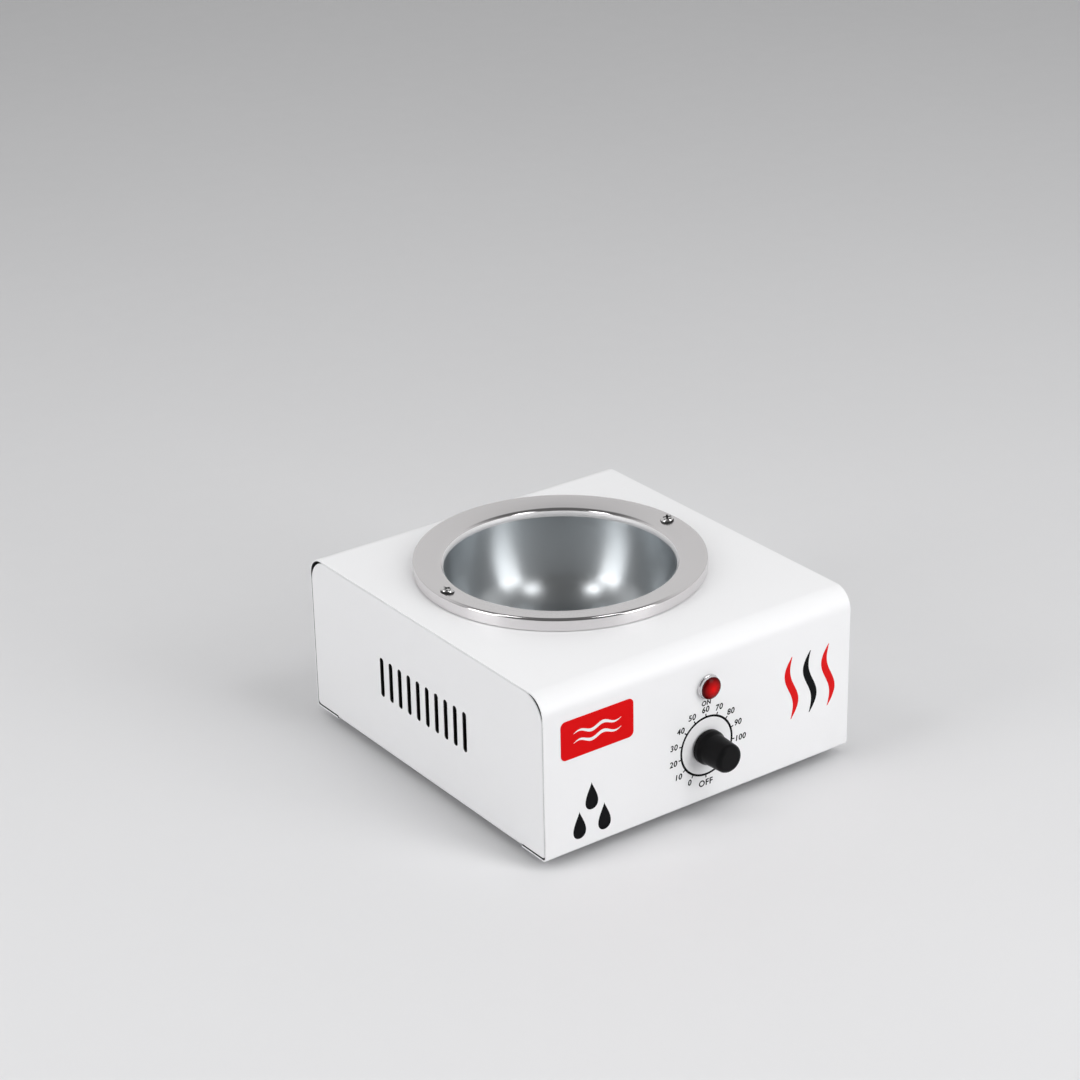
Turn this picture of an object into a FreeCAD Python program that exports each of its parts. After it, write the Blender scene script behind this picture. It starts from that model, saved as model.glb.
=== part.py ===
import FreeCAD, Part
import math
import os

# Wax heater: a folded sheet-metal box with a drawn bowl let into its top under a trim ring.
# The part stands on the floor plane, +Z up, its front faces -Y, and its origin is the middle
# of the overall footprint. All lengths are in millimetres, all angles in degrees.

V = FreeCAD.Vector

# Outer shell: front, top and back in one sheet, with short returns under the base
shell_sheet = 1.0
front_bend = 13.0
rear_bend = 12.0
return_bend = 2.5
return_length = 24.0

# Room inside the box round the heater's jacket, which sets the box's width, depth and height
jacket_side_room = 26.2
jacket_front_gap = 5.9
jacket_rear_room = 23.8
jacket_under_room = 33.9

# Side panels: flanged pans let in between the shell's edges
panel_sheet = 1.0
panel_gap = 0.3
panel_flange = 12.0
panel_bend = 2.5
panel_corner_ease = 3.0
slot_count = 10
slot_pitch = 9.83
slot_width = 3.5
slot_length = 26.5
slot_row_height = 51.7

# Base plate and rubber feet
base_sheet = 1.0
base_inset = 4.0
base_corner = 8.0
base_slot_count = 9
base_slot_pitch = 11.0
base_slot_width = 4.0
base_slot_length = 42.0
foot_height = 6.0
foot_rim = 2.5
foot_taper = 1.5
foot_head_gap = 0.8
foot_head_depth = 0.6
foot_side_inset = 24.0
foot_end_inset = 36.0
foot_edge_round = 0.8

# Screws and nuts: metric four for ring and feet, thread cutters for the base
screw_radius = 2.0
screw_head_radius = 4.2
screw_head_height = 2.6
screw_nut_flats = 7.0
screw_nut_height = 3.2
screw_end = 1.6
screw_gap = 0.1
hole_gap = 0.3
cutter_radius = 1.75
cutter_head_radius = 3.6
cutter_head_height = 2.3
cutter_length = 7.0
cutter_corner_inset = 30.0
head_round_share = 0.7

# Trim ring: skirt, rounded shoulder, top dished towards the bowl, rolled lip
bowl_offset_x = -2.0
ring_width = 19.0
ring_height = 8.8
ring_sheet = 0.8
ring_shoulder = 1.8
ring_dish_angle = 10.0
ring_roll = 4.0
ring_lip_radius = 72.0
ring_tuck = 0.4
ring_screw_inset = 7.2

# Drawn bowl and the gasket under its flange
bowl_lip_gap = 0.4
bowl_draft = 12.6
bowl_waist_draft = 0.7
bowl_waist_drop = 19.4
bowl_waist_round = 60.0
bowl_wall = 1.2
bowl_depth = 54.0
bowl_corner = 26.0
bowl_mouth_bend = 3.0
bowl_flange_gap = 1.7
bowl_hole_gap = 1.1
gasket_thickness = 2.0
gasket_inset = 1.5

# Mica plate heater clamped under the bowl
mica_margin = 2.0
mica_thickness = 0.8
element_margin = 2.0
element_inner_radius = 14.0
element_thickness = 1.2
element_slot_count = 24
element_slot_width = 1.8
element_bridge = 5.0
element_tab_length = 12.0
element_tab_width = 7.0
element_tab_spread = 16.0
clamp_margin = 4.0
clamp_thickness = 2.0
stud_radius = 3.0
stud_nut_flats = 10.0
stud_nut_height = 5.0
stud_end = 2.0
spacer_radius = 5.0

# Heat shield and insulation round the bowl
shield_sheet = 0.8
shield_gap = 0.5
shield_rim_gap = 4.0
pad_thickness = 6.0
pad_hole_radius = 12.0
wrap_thickness = 10.7
wrap_gap = 0.4
wrap_drop = 8.0

# Thermostat, its shaft and its sensing bulb
dial_offset_x = 3.5
dial_height = 37.0
thermostat_radius = 15.0
thermostat_depth = 26.0
thermostat_edge_round = 1.5
bush_radius = 5.0
bush_reach = 4.0
bush_nut_flats = 14.0
bush_nut_height = 2.5
shaft_radius = 3.0
shaft_gap = 0.05
shaft_flat = 1.5
shaft_seat = 14.0
bulb_radius = 3.1
bulb_length = 70.0
bulb_gap = 0.1
bulb_pad_gap = 0.8
clip_sheet = 0.8
clip_width = 12.0
clip_ear = 5.0
clip_nut_gap = 2.2
capillary_radius = 0.9
capillary_outlet_height = 7.0
capillary_bend = 4.0
capillary_lead = 6.0
tab_width = 6.3
tab_sheet = 0.8
tab_length = 8.0
thermostat_tab_spread = 14.0
thermostat_tab_drop = 6.0

# Knob
knob_reach = 22.5
knob_panel_gap = 0.8
knob_nut_gap = 1.5
knob_bush_gap = 1.2
knob_skirt_wall = 1.9
knob_skirt_height = 4.2
knob_skirt_round = 1.6
knob_neck_rise = 3.3
knob_neck_step = 2.5
knob_neck_round = 3.0
knob_taper = 0.8
knob_end_round = 2.4
knob_end_wall = 5.0
knob_bore_end_gap = 0.5
pointer_width = 1.2
pointer_depth = 0.5

# Pilot lamp
lamp_offset_x = 4.0
lamp_rise = 39.4
bezel_foot_step = 0.7
bezel_foot_height = 1.4
bezel_step_wall = 0.7
bezel_height = 3.2
bezel_round = 0.5
lens_radius = 6.4
lens_seat = 0.3
lens_wall = 1.4
lens_reach = 6.8
lens_round = 3.4
holder_step = 0.6
holder_depth = 26.0
holder_hole_gap = 0.2
neon_radius = 2.5
neon_length = 3.6
lamp_nut_wall = 1.7
lamp_nut_height = 3.0
lamp_tab_spread = 6.0
lamp_tab_width = 3.2

# Cord entry at the back
gland_height = 24.0
gland_reach = 8.0
gland_bore_radius = 3.6
gland_grip_length = 7.0
gland_throat_step = 0.6
gland_flange_radius = 10.0
gland_flange_height = 2.5
gland_nose_radius = 7.4
gland_round = 1.5
gland_thread_radius = 6.0
gland_thread_length = 10.0
gland_nut_flats = 17.0
gland_nut_height = 4.0

# Terminal block, earth stud and wiring
way_count = 4
way_pitch = 8.0
block_end = 2.0
block_depth = 18.0
block_height = 15.0
block_foot_gap = 2.0
block_edge_round = 1.0
way_height = 7.0
well_radius = 2.2
well_depth = 6.0
well_inset = 4.5
terminal_screw_radius = 1.9
terminal_screw_length = 4.5
earth_gap = 9.0
earth_return_gap = 1.0
earth_length = 12.0
wire_radius = 1.2
wire_bend = 6.0
wire_lead_bend = 3.5
wire_lead = 9.0
wire_hole_gap = 1.0
lamp_lead_step = 4.0

# Overrun of every cutting tool past the face that it cuts, and the gap at which points count as one
overrun = 2.0
same_point_gap = 1e-6

# Radii that follow from the sizes above
ring_radius = ring_lip_radius + ring_width
ring_screw_radius = ring_radius - ring_screw_inset
bowl_mouth_radius = ring_lip_radius + ring_sheet + bowl_lip_gap
bowl_base_radius = bowl_mouth_radius - bowl_draft
bowl_waist_radius = bowl_mouth_radius - bowl_waist_draft
bowl_lean = math.atan2(bowl_waist_radius - bowl_base_radius, bowl_depth - bowl_waist_drop)
bowl_flat_radius = bowl_base_radius - bowl_corner * math.tan(math.pi / 4 - bowl_lean / 2)
bowl_flange_radius = ring_radius - ring_sheet - bowl_flange_gap
top_hole_radius = bowl_mouth_radius + bowl_wall + bowl_hole_gap
mica_radius = bowl_flat_radius - mica_margin
element_radius = mica_radius - element_margin
element_tab_reach = element_radius + element_tab_length
element_tab_place = element_tab_reach - element_tab_width / 2
clamp_radius = mica_radius - clamp_margin
wrap_inner_radius = bowl_mouth_radius + bowl_wall + wrap_gap
shield_radius = wrap_inner_radius + wrap_thickness + shield_gap
jacket_radius = shield_radius + shield_sheet
screw_nut_radius = screw_nut_flats / math.sqrt(3)
stud_nut_radius = stud_nut_flats / math.sqrt(3)
bush_nut_radius = bush_nut_flats / math.sqrt(3)
foot_recess_radius = screw_head_radius + foot_head_gap
foot_recess_depth = screw_head_height + foot_head_depth
foot_tip_radius = foot_recess_radius + foot_rim
foot_radius = foot_tip_radius + foot_taper
clip_inner = bulb_radius + bulb_gap
clip_outer = clip_inner + clip_sheet
knob_recess_radius = bush_nut_radius + knob_nut_gap
knob_recess_end = bush_reach + knob_bush_gap
knob_skirt_radius = knob_recess_radius + knob_skirt_wall
knob_neck_radius = knob_skirt_radius - knob_neck_step
knob_neck_height = knob_skirt_height + knob_neck_rise
knob_end_radius = knob_neck_radius - knob_taper
knob_bore_end = knob_reach - knob_end_wall
shaft_reach = knob_bore_end - knob_bore_end_gap
bezel_step_radius = lens_radius + bezel_step_wall
bezel_radius = bezel_step_radius + bezel_foot_step
holder_radius = lens_radius - holder_step
lamp_nut_flats = 2 * (holder_radius + lamp_nut_wall)
gland_throat_radius = gland_bore_radius + gland_throat_step
wire_hole_radius = wire_radius + wire_hole_gap

# Heights that follow, from the floor up through the heater to the shell's top
shell_bottom = foot_height + base_sheet
shield_bottom = shell_bottom + jacket_under_room
shield_floor = shield_bottom + shield_sheet
spacer_length = pad_thickness + bulb_pad_gap + clip_inner + clip_outer - stud_nut_height
upper_nut_bottom = shield_floor + spacer_length
clamp_bottom = upper_nut_bottom + stud_nut_height
clamp_top = clamp_bottom + clamp_thickness
element_bottom = clamp_top + mica_thickness
element_top = element_bottom + element_thickness
bowl_bottom = element_top + mica_thickness
bowl_floor = bowl_bottom + bowl_wall
flange_top = bowl_floor + bowl_depth
bowl_waist_z = flange_top - bowl_waist_drop
shell_top = flange_top - bowl_wall - gasket_thickness
shell_height = shell_top - shell_bottom
wrap_top = shell_top - shell_sheet - wrap_drop
dial_z = shell_bottom + dial_height
lamp_z = dial_z + lamp_rise
bulb_z = clamp_bottom - clip_inner
gland_z = shell_bottom + gland_height
way_z = shell_bottom + way_height

# Widths, depths and places that follow
lamp_works_depth = holder_depth + tab_length + wire_lead / 2 + lamp_lead_step + wire_radius
jacket_front_room = lamp_works_depth + jacket_front_gap
shell_width = 2 * (jacket_radius + abs(bowl_offset_x) + jacket_side_room)
shell_depth = jacket_front_room + 2 * jacket_radius + jacket_rear_room
front_y = knob_reach - (knob_reach + shell_depth + gland_reach) / 2
rear_y = front_y + shell_depth
middle_y = (front_y + rear_y) / 2
side_x = shell_width / 2
bowl_x = bowl_offset_x
bowl_y = front_y + jacket_front_room + jacket_radius
panel_inner_y = front_y + shell_sheet
thermostat_rear = panel_inner_y + thermostat_depth
lamp_rear = front_y + holder_depth
bulb_x = bowl_x + stud_nut_radius + clip_nut_gap + clip_ear + clip_outer
bulb_front = bowl_y - bulb_length / 2
foot_x = side_x - foot_side_inset
block_width = way_count * way_pitch + 2 * block_end
block_x = foot_x - screw_nut_radius - block_foot_gap - block_width / 2
earth_y = rear_y - return_length - earth_return_gap - screw_nut_radius
block_rear = earth_y - earth_gap
block_front = block_rear - block_depth

UP = V(0, 0, 1)
OUT_FRONT = V(0, -1, 0)
OUT_REAR = V(0, 1, 0)


# General shapes

def corner_arc(before, corner, after, radius):
    """Start, middle and end of the round that a radius makes in a corner."""
    to_before = (before - corner).normalize()
    to_after = (after - corner).normalize()
    half = to_before.getAngle(to_after) / 2
    inward = (to_before + to_after).normalize()
    start = corner + to_before * (radius / math.tan(half))
    end = corner + to_after * (radius / math.tan(half))
    middle = corner + inward * (radius / math.sin(half) - radius)
    return start, middle, end


def rounded_loop(corners, radii, place):
    """Closed wire through flat corners, each rounded by its radius, set in space by place."""
    flat = [V(a, b, 0) for a, b in corners]
    arcs = []
    for i, radius in enumerate(radii):
        before = flat[i - 1]
        after = flat[(i + 1) % len(flat)]
        if radius > 0:
            arcs.append(corner_arc(before, flat[i], after, radius))
        else:
            arcs.append((flat[i], None, flat[i]))
    edges = []
    for i, (start, middle, end) in enumerate(arcs):
        if middle is not None:
            edges.append(Part.Arc(place(start), place(middle), place(end)).toShape())
        following = arcs[(i + 1) % len(arcs)][0]
        if end.distanceToPoint(following) > same_point_gap:
            edges.append(Part.LineSegment(place(end), place(following)).toShape())
    return Part.Wire(Part.__sortEdges__(edges))


def turned(corners, radii, origin, axis):
    """Solid of revolution from corners given as radius and distance along the axis."""
    side = V(1, 0, 0)
    loop = rounded_loop(corners, radii, lambda p: origin + side * p.x + axis * p.y)
    return Part.Face(loop).revolve(origin, axis, 360)


def ring_solid(inner, outer, low, high, origin, axis):
    """Plain ring or tube between two radii and two places along the axis."""
    corners = [(inner, low), (outer, low), (outer, high), (inner, high)]
    return turned(corners, [0, 0, 0, 0], origin, axis)


def rod(radius, low, high, origin, axis):
    """Plain cylinder along the axis between two places."""
    return Part.makeCylinder(radius, high - low, origin + axis * low, axis)


def box(low, high):
    """Box between two opposite corners."""
    size = high - low
    return Part.makeBox(size.x, size.y, size.z, low)


def hex_nut(flats, low, high, bore, origin, axis):
    """Hexagon nut with a plain bore along the axis."""
    corner_radius = flats / math.sqrt(3)
    side = V(1, 0, 0)
    other = axis.cross(side)
    points = []
    for i in range(6):
        turn = math.radians(60 * i)
        outward = side * math.cos(turn) + other * math.sin(turn)
        points.append(origin + axis * low + outward * corner_radius)
    prism = Part.Face(Part.makePolygon(points + points[:1])).extrude(axis * (high - low))
    return prism.cut(rod(bore, low - overrun, high + overrun, origin, axis))


def pan_screw(radius, length, head_radius, head_height, seat, axis):
    """Screw whose domed head stands on its seat along the axis and whose shank goes the other way."""
    corners = [(0, -length), (radius, -length), (radius, 0), (head_radius, 0),
               (head_radius, head_height), (0, head_height)]
    radii = [0, 0, 0, 0, head_height * head_round_share, 0]
    return turned(corners, radii, seat, axis)


def slot_cutter(width, length, depth, middle, along, through):
    """Round-ended cutter, long one way, that passes through a sheet the other way."""
    side = along.cross(through)
    half = length / 2 - width / 2
    start = middle - through * (depth / 2)
    flank = side * (width / 2)
    ends = [start - along * half, start + along * half]
    tip_low = ends[0] - along * (width / 2)
    tip_high = ends[1] + along * (width / 2)
    edges = [
        Part.LineSegment(ends[0] + flank, ends[1] + flank).toShape(),
        Part.Arc(ends[1] + flank, tip_high, ends[1] - flank).toShape(),
        Part.LineSegment(ends[1] - flank, ends[0] - flank).toShape(),
        Part.Arc(ends[0] - flank, tip_low, ends[0] + flank).toShape(),
    ]
    return Part.Face(Part.Wire(edges)).extrude(through * depth)


def bent_rod(points, radius, bends):
    """Round rod along straight runs joined by tangent arcs."""
    edges = []
    last = points[0]
    for i in range(1, len(points) - 1):
        start, middle, end = corner_arc(points[i - 1], points[i], points[i + 1], bends[i - 1])
        edges.append(Part.LineSegment(last, start).toShape())
        edges.append(Part.Arc(start, middle, end).toShape())
        last = end
    edges.append(Part.LineSegment(last, points[-1]).toShape())
    section = Part.Wire(Part.makeCircle(radius, points[0], points[1] - points[0]))
    return Part.Wire(edges).makePipeShell([section], True, False)


# Places that several pieces share

def ring_screw_places():
    """The two ring screws, on the ring's left and right."""
    return [V(bowl_x + side * ring_screw_radius, bowl_y, 0) for side in (-1, 1)]


def foot_places():
    """The four feet."""
    places = []
    for side in (-1, 1):
        for y in (front_y + foot_end_inset, rear_y - foot_end_inset):
            places.append(V(side * foot_x, y, 0))
    return places


def return_screw_places():
    """The four base screws that go into the shell's front and rear returns."""
    places = []
    for side in (-1, 1):
        for y in (front_y + return_length / 2, rear_y - return_length / 2):
            places.append(V(side * (side_x - cutter_corner_inset), y, 0))
    return places


def side_screw_places():
    """The two base screws that go into the side panels' bottom flanges."""
    x = side_x - (base_inset + panel_flange) / 2
    return [V(side * x, middle_y, 0) for side in (-1, 1)]


def element_tab_places():
    """The two terminals of the heating element, ahead of the bowl's middle."""
    y = bowl_y - element_tab_place
    return [V(bowl_x + side * element_tab_spread / 2, y, 0) for side in (-1, 1)]


def way_x(way):
    """Middle of one way of the terminal block."""
    return block_x + (way - (way_count - 1) / 2) * way_pitch


def bowl_axis(z):
    """Point of the bowl's axis at a height."""
    return V(bowl_x, bowl_y, z)


dial_centre = V(dial_offset_x, front_y, dial_z)
lamp_centre = V(lamp_offset_x, front_y, lamp_z)
gland_centre = V(block_x, rear_y, gland_z)


# Sheet-metal body

def outer_shell():
    """Front, top and back bent from one sheet, closed below by two returns."""
    t = shell_sheet
    outside = [(front_y + return_length, shell_bottom), (front_y, shell_bottom), (front_y, shell_top),
               (rear_y, shell_top), (rear_y, shell_bottom), (rear_y - return_length, shell_bottom)]
    inside = [(rear_y - return_length, shell_bottom + t), (rear_y - t, shell_bottom + t),
              (rear_y - t, shell_top - t), (front_y + t, shell_top - t),
              (front_y + t, shell_bottom + t), (front_y + return_length, shell_bottom + t)]
    radii = [0, return_bend, front_bend, rear_bend, return_bend, 0]
    inner_radii = [0, return_bend - t, rear_bend - t, front_bend - t, return_bend - t, 0]
    loop = rounded_loop(outside + inside, radii + inner_radii, lambda p: V(-side_x, p.x, p.y))
    shell = Part.Face(loop).extrude(V(shell_width, 0, 0))
    cutters = [rod(top_hole_radius, -t - overrun, overrun, bowl_axis(shell_top), UP)]
    for place in ring_screw_places():
        cutters.append(rod(screw_radius + hole_gap, -t - overrun, overrun, place + UP * shell_top, UP))
    for place in return_screw_places():
        cutters.append(rod(cutter_radius + screw_gap, -overrun, t + overrun, place + UP * shell_bottom, UP))
    cutters.append(rod(bush_radius + hole_gap, -t - overrun, overrun, dial_centre, OUT_FRONT))
    cutters.append(rod(holder_radius + holder_hole_gap, -t - overrun, overrun, lamp_centre, OUT_FRONT))
    cutters.append(rod(gland_thread_radius + hole_gap, -t - overrun, overrun, gland_centre, OUT_REAR))
    return shell.cut(cutters)


def side_panel(side):
    """Slotted side plate with flanges along its front, top, back and bottom."""
    step = shell_bottom + shell_sheet + panel_gap
    front = front_y + shell_sheet + panel_gap
    rear = rear_y - shell_sheet - panel_gap
    top = shell_top - shell_sheet - panel_gap
    t = panel_sheet
    front_round = front_bend - shell_sheet + panel_corner_ease
    rear_round = rear_bend - shell_sheet + panel_corner_ease
    outline = [(front, step), (rear, step), (rear, top), (front, top)]
    hollow = [(front + t, step - overrun), (rear - t, step - overrun),
              (rear - t, top - t), (front + t, top - t)]
    face_x = side * side_x
    inward = V(-side, 0, 0)
    plate = rounded_loop(outline, [return_bend, return_bend, rear_round, front_round],
                         lambda p: V(face_x, p.x, p.y))
    pan = Part.Face(plate).extrude(inward * panel_flange)
    inner = rounded_loop(hollow, [0, 0, rear_round - t, front_round - t],
                         lambda p: V(face_x - side * t, p.x, p.y))
    pan = pan.cut(Part.Face(inner).extrude(inward * (panel_flange + overrun)))

    start = front_y + return_length + panel_gap
    end = rear_y - return_length - panel_gap
    leg_top = step + panel_bend
    section = [(0, leg_top), (0, shell_bottom), (panel_flange, shell_bottom),
               (panel_flange, shell_bottom + t), (t, shell_bottom + t), (t, leg_top)]
    rounds = [0, panel_bend, 0, 0, panel_bend - t, 0]
    leg = rounded_loop(section, rounds, lambda p: V(face_x - side * p.x, start, p.y))
    pan = pan.fuse(Part.Face(leg).extrude(V(0, end - start, 0))).removeSplitter()

    cutters = []
    for i in range(slot_count):
        y = middle_y + (i - (slot_count - 1) / 2) * slot_pitch
        middle = V(face_x, y, shell_bottom + slot_row_height)
        cutters.append(slot_cutter(slot_width, slot_length, 2 * t + overrun, middle, UP, V(1, 0, 0)))
    for place in side_screw_places():
        cutters.append(rod(cutter_radius + screw_gap, -overrun, t + overrun, place + UP * shell_bottom, UP))
    return pan.cut(cutters)


def base_plate():
    """Flat bottom plate with vent slots, screwed up under the returns and flanges."""
    x = side_x - base_inset
    front = front_y + base_inset
    rear = rear_y - base_inset
    loop = rounded_loop([(-x, front), (x, front), (x, rear), (-x, rear)], [base_corner] * 4,
                        lambda p: V(p.x, p.y, foot_height))
    plate = Part.Face(loop).extrude(UP * base_sheet)
    cutters = []
    for i in range(base_slot_count):
        x = bowl_x + (i - (base_slot_count - 1) / 2) * base_slot_pitch
        middle = V(x, middle_y, foot_height)
        cutters.append(slot_cutter(base_slot_width, base_slot_length, 2 * base_sheet + overrun,
                                   middle, V(0, 1, 0), UP))
    low = foot_height - overrun
    high = shell_bottom + overrun
    for place in return_screw_places() + side_screw_places():
        cutters.append(rod(cutter_radius + hole_gap, low, high, place, UP))
    for place in foot_places():
        cutters.append(rod(screw_radius + hole_gap, low, high, place, UP))
    return plate.cut(cutters)


def base_screws():
    """Thread-cutting screws, heads below the base plate."""
    screws = []
    for place in return_screw_places() + side_screw_places():
        seat = place + UP * foot_height
        screws.append(pan_screw(cutter_radius, cutter_length, cutter_head_radius, cutter_head_height,
                                seat, -UP))
    return Part.makeCompound(screws)


def feet():
    """Tapered rubber feet with a recess for the screw head."""
    bore = screw_radius + screw_gap
    corners = [(foot_recess_radius, 0), (foot_tip_radius, 0), (foot_radius, foot_height), (bore, foot_height),
               (bore, foot_recess_depth), (foot_recess_radius, foot_recess_depth)]
    radii = [0, foot_edge_round, 0, 0, 0, 0]
    return Part.makeCompound([turned(corners, radii, place, UP) for place in foot_places()])


def foot_screws():
    """Screws up through the feet and the base plate."""
    length = shell_bottom - foot_recess_depth + screw_nut_height + screw_end
    screws = []
    for place in foot_places():
        seat = place + UP * foot_recess_depth
        screws.append(pan_screw(screw_radius, length, screw_head_radius, screw_head_height, seat, -UP))
    return Part.makeCompound(screws)


def foot_nuts():
    """Nuts on top of the base plate."""
    top = shell_bottom + screw_nut_height
    nuts = [hex_nut(screw_nut_flats, shell_bottom, top, screw_radius + screw_gap, place, UP)
            for place in foot_places()]
    return Part.makeCompound(nuts)


# Bowl and trim ring

def ring_top(radius):
    """Height of the ring's dished top above the shell at a radius."""
    return ring_height - (ring_radius - radius) * math.tan(math.radians(ring_dish_angle))


def trim_ring():
    """Pressed ring that covers the bowl's flange and tucks into its mouth."""
    t = ring_sheet
    drop = t / math.cos(math.radians(ring_dish_angle))
    lip = ring_lip_radius
    lip_end = ring_top(lip) - ring_roll - ring_tuck
    under = lip + t
    skirt = ring_radius - t
    corners = [(ring_radius, 0), (ring_radius, ring_height), (lip, ring_top(lip)), (lip, lip_end),
               (under, lip_end), (under, ring_top(under) - drop), (skirt, ring_top(skirt) - drop), (skirt, 0)]
    radii = [0, ring_shoulder, ring_roll, 0, 0, ring_roll - t, ring_shoulder - t, 0]
    ring = turned(corners, radii, bowl_axis(shell_top), UP)
    holes = [rod(screw_radius + hole_gap, 0, ring_height + overrun, place + UP * shell_top, UP)
             for place in ring_screw_places()]
    return ring.cut(holes)


def ring_screws():
    """Pan-head screws that hold the ring and the bowl's flange down on the shell."""
    seat = shell_top + ring_top(ring_screw_radius + screw_head_radius)
    length = seat - shell_top + shell_sheet + screw_nut_height + screw_end
    screws = [pan_screw(screw_radius, length, screw_head_radius, screw_head_height, place + UP * seat, UP)
              for place in ring_screw_places()]
    return Part.makeCompound(screws)


def ring_nuts():
    """Nuts under the shell's top."""
    top = shell_top - shell_sheet
    nuts = [hex_nut(screw_nut_flats, top - screw_nut_height, top, screw_radius + screw_gap, place, UP)
            for place in ring_screw_places()]
    return Part.makeCompound(nuts)


def bowl_gasket():
    """Heat-proof ring between the shell and the bowl's flange."""
    inner = top_hole_radius + gasket_inset
    gasket = ring_solid(inner, bowl_flange_radius, 0, gasket_thickness, bowl_axis(shell_top), UP)
    holes = [rod(screw_radius + hole_gap, -overrun, gasket_thickness + overrun, place + UP * shell_top, UP)
             for place in ring_screw_places()]
    return gasket.cut(holes)


def bowl():
    """Drawn bowl with a flat floor, a wide bottom corner, a wall that leans in below and a flange."""
    t = bowl_wall
    corners = [(0, bowl_bottom), (bowl_base_radius + t, bowl_bottom), (bowl_waist_radius + t, bowl_waist_z),
               (bowl_mouth_radius + t, flange_top - t), (bowl_flange_radius, flange_top - t),
               (bowl_flange_radius, flange_top), (bowl_mouth_radius, flange_top),
               (bowl_waist_radius, bowl_waist_z), (bowl_base_radius, bowl_floor), (0, bowl_floor)]
    radii = [0, bowl_corner + t, bowl_waist_round + t, bowl_mouth_bend - t, 0, 0, bowl_mouth_bend,
             bowl_waist_round, bowl_corner, 0]
    drawn = turned(corners, radii, bowl_axis(0), UP)
    holes = [rod(screw_radius + hole_gap, -t - overrun, overrun, place + UP * flange_top, UP)
             for place in ring_screw_places()]
    return drawn.cut(holes)


# Heater and jacket

def mica_plate(top):
    """Insulating mica disc with a hole for the stud."""
    hole = stud_radius + hole_gap
    return ring_solid(hole, mica_radius, -mica_thickness, 0, bowl_axis(top), UP)


def heating_element():
    """Resistance plate slotted in and out by turns, split between its two terminals."""
    plate = ring_solid(element_inner_radius, element_radius, element_bottom, element_top, bowl_axis(0), UP)
    tabs = []
    for place in element_tab_places():
        low = V(place.x - element_tab_width / 2, bowl_y - element_tab_reach, element_bottom)
        high = V(place.x + element_tab_width / 2, bowl_y - element_radius + element_bridge, element_top)
        tabs.append(box(low, high))
    plate = plate.fuse(tabs).removeSplitter()
    cutters = []
    half = element_slot_width / 2
    for i in range(element_slot_count):
        inner = element_inner_radius - overrun if i % 2 == 0 else element_inner_radius + element_bridge
        outer = element_radius - element_bridge if i % 2 == 0 else element_radius + overrun
        if i == 0:
            outer = element_radius + overrun
        low = V(-half, -outer, -overrun)
        high = V(half, -inner, element_thickness + overrun)
        cutter = box(low, high)
        cutter.rotate(V(0, 0, 0), UP, 360 * i / element_slot_count)
        cutter.translate(bowl_axis(element_bottom))
        cutters.append(cutter)
    return plate.cut(cutters)


def clamp_plate():
    """Steel disc that presses the heater against the bowl."""
    hole = stud_radius + hole_gap
    return ring_solid(hole, clamp_radius, -clamp_thickness, 0, bowl_axis(clamp_top), UP)


def clamp_stud():
    """Stud under the bowl's middle."""
    low = shield_bottom - stud_nut_height - stud_end
    return rod(stud_radius, low, bowl_bottom, bowl_axis(0), UP)


def clamp_nuts():
    """One nut under the clamp plate and one under the heat shield."""
    bore = stud_radius + screw_gap
    upper = hex_nut(stud_nut_flats, upper_nut_bottom, clamp_bottom, bore, bowl_axis(0), UP)
    lower = hex_nut(stud_nut_flats, shield_bottom - stud_nut_height, shield_bottom, bore, bowl_axis(0), UP)
    return Part.makeCompound([upper, lower])


def shield_spacer():
    """Sleeve on the stud that sets the heat shield's distance."""
    bore = stud_radius + screw_gap
    return ring_solid(bore, spacer_radius, shield_floor, upper_nut_bottom, bowl_axis(0), UP)


def wire_passages(low, high):
    """Cutters for the two heater wires between two heights."""
    return [rod(wire_hole_radius, low, high, place, UP) for place in element_tab_places()]


def capillary_passage():
    """Cutter for the capillary tube where it leaves the jacket to the front."""
    start = V(bulb_x, bulb_front, bulb_z)
    return rod(capillary_radius + wire_hole_gap, 0, shield_radius + overrun, start, OUT_FRONT)


def heat_shield():
    """Open-topped can hung from the stud round the bowl and its insulation."""
    inner = shield_radius
    outer = jacket_radius
    rim = shell_top - shell_sheet - shield_rim_gap
    hole = stud_radius + hole_gap
    corners = [(hole, shield_bottom), (outer, shield_bottom), (outer, rim), (inner, rim),
               (inner, shield_floor), (hole, shield_floor)]
    can = turned(corners, [0] * 6, bowl_axis(0), UP)
    cutters = wire_passages(shield_bottom - overrun, shield_floor + overrun)
    cutters.append(capillary_passage())
    return can.cut(cutters)


def insulation_pad():
    """Fibre disc on the floor of the heat shield."""
    outer = shield_radius - shield_gap
    pad = ring_solid(pad_hole_radius, outer, shield_floor, shield_floor + pad_thickness, bowl_axis(0), UP)
    return pad.cut(wire_passages(shield_floor - overrun, shield_floor + pad_thickness + overrun))


def insulation_wrap():
    """Fibre blanket between the bowl and the heat shield."""
    outer = wrap_inner_radius + wrap_thickness
    wrap = ring_solid(wrap_inner_radius, outer, shield_floor + pad_thickness, wrap_top, bowl_axis(0), UP)
    return wrap.cut(capillary_passage())


# Thermostat and knob

def thermostat_body():
    """Round thermostat with a threaded bush through the front panel."""
    bore = shaft_radius + shaft_gap
    back = -shell_sheet
    corners = [(bore, bush_reach), (bore, back - shaft_seat), (0, back - shaft_seat),
               (0, back - thermostat_depth), (thermostat_radius, back - thermostat_depth),
               (thermostat_radius, back), (bush_radius, back), (bush_radius, bush_reach)]
    radii = [0, 0, 0, 0, thermostat_edge_round, thermostat_edge_round, 0, 0]
    return turned(corners, radii, dial_centre, OUT_FRONT)


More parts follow.
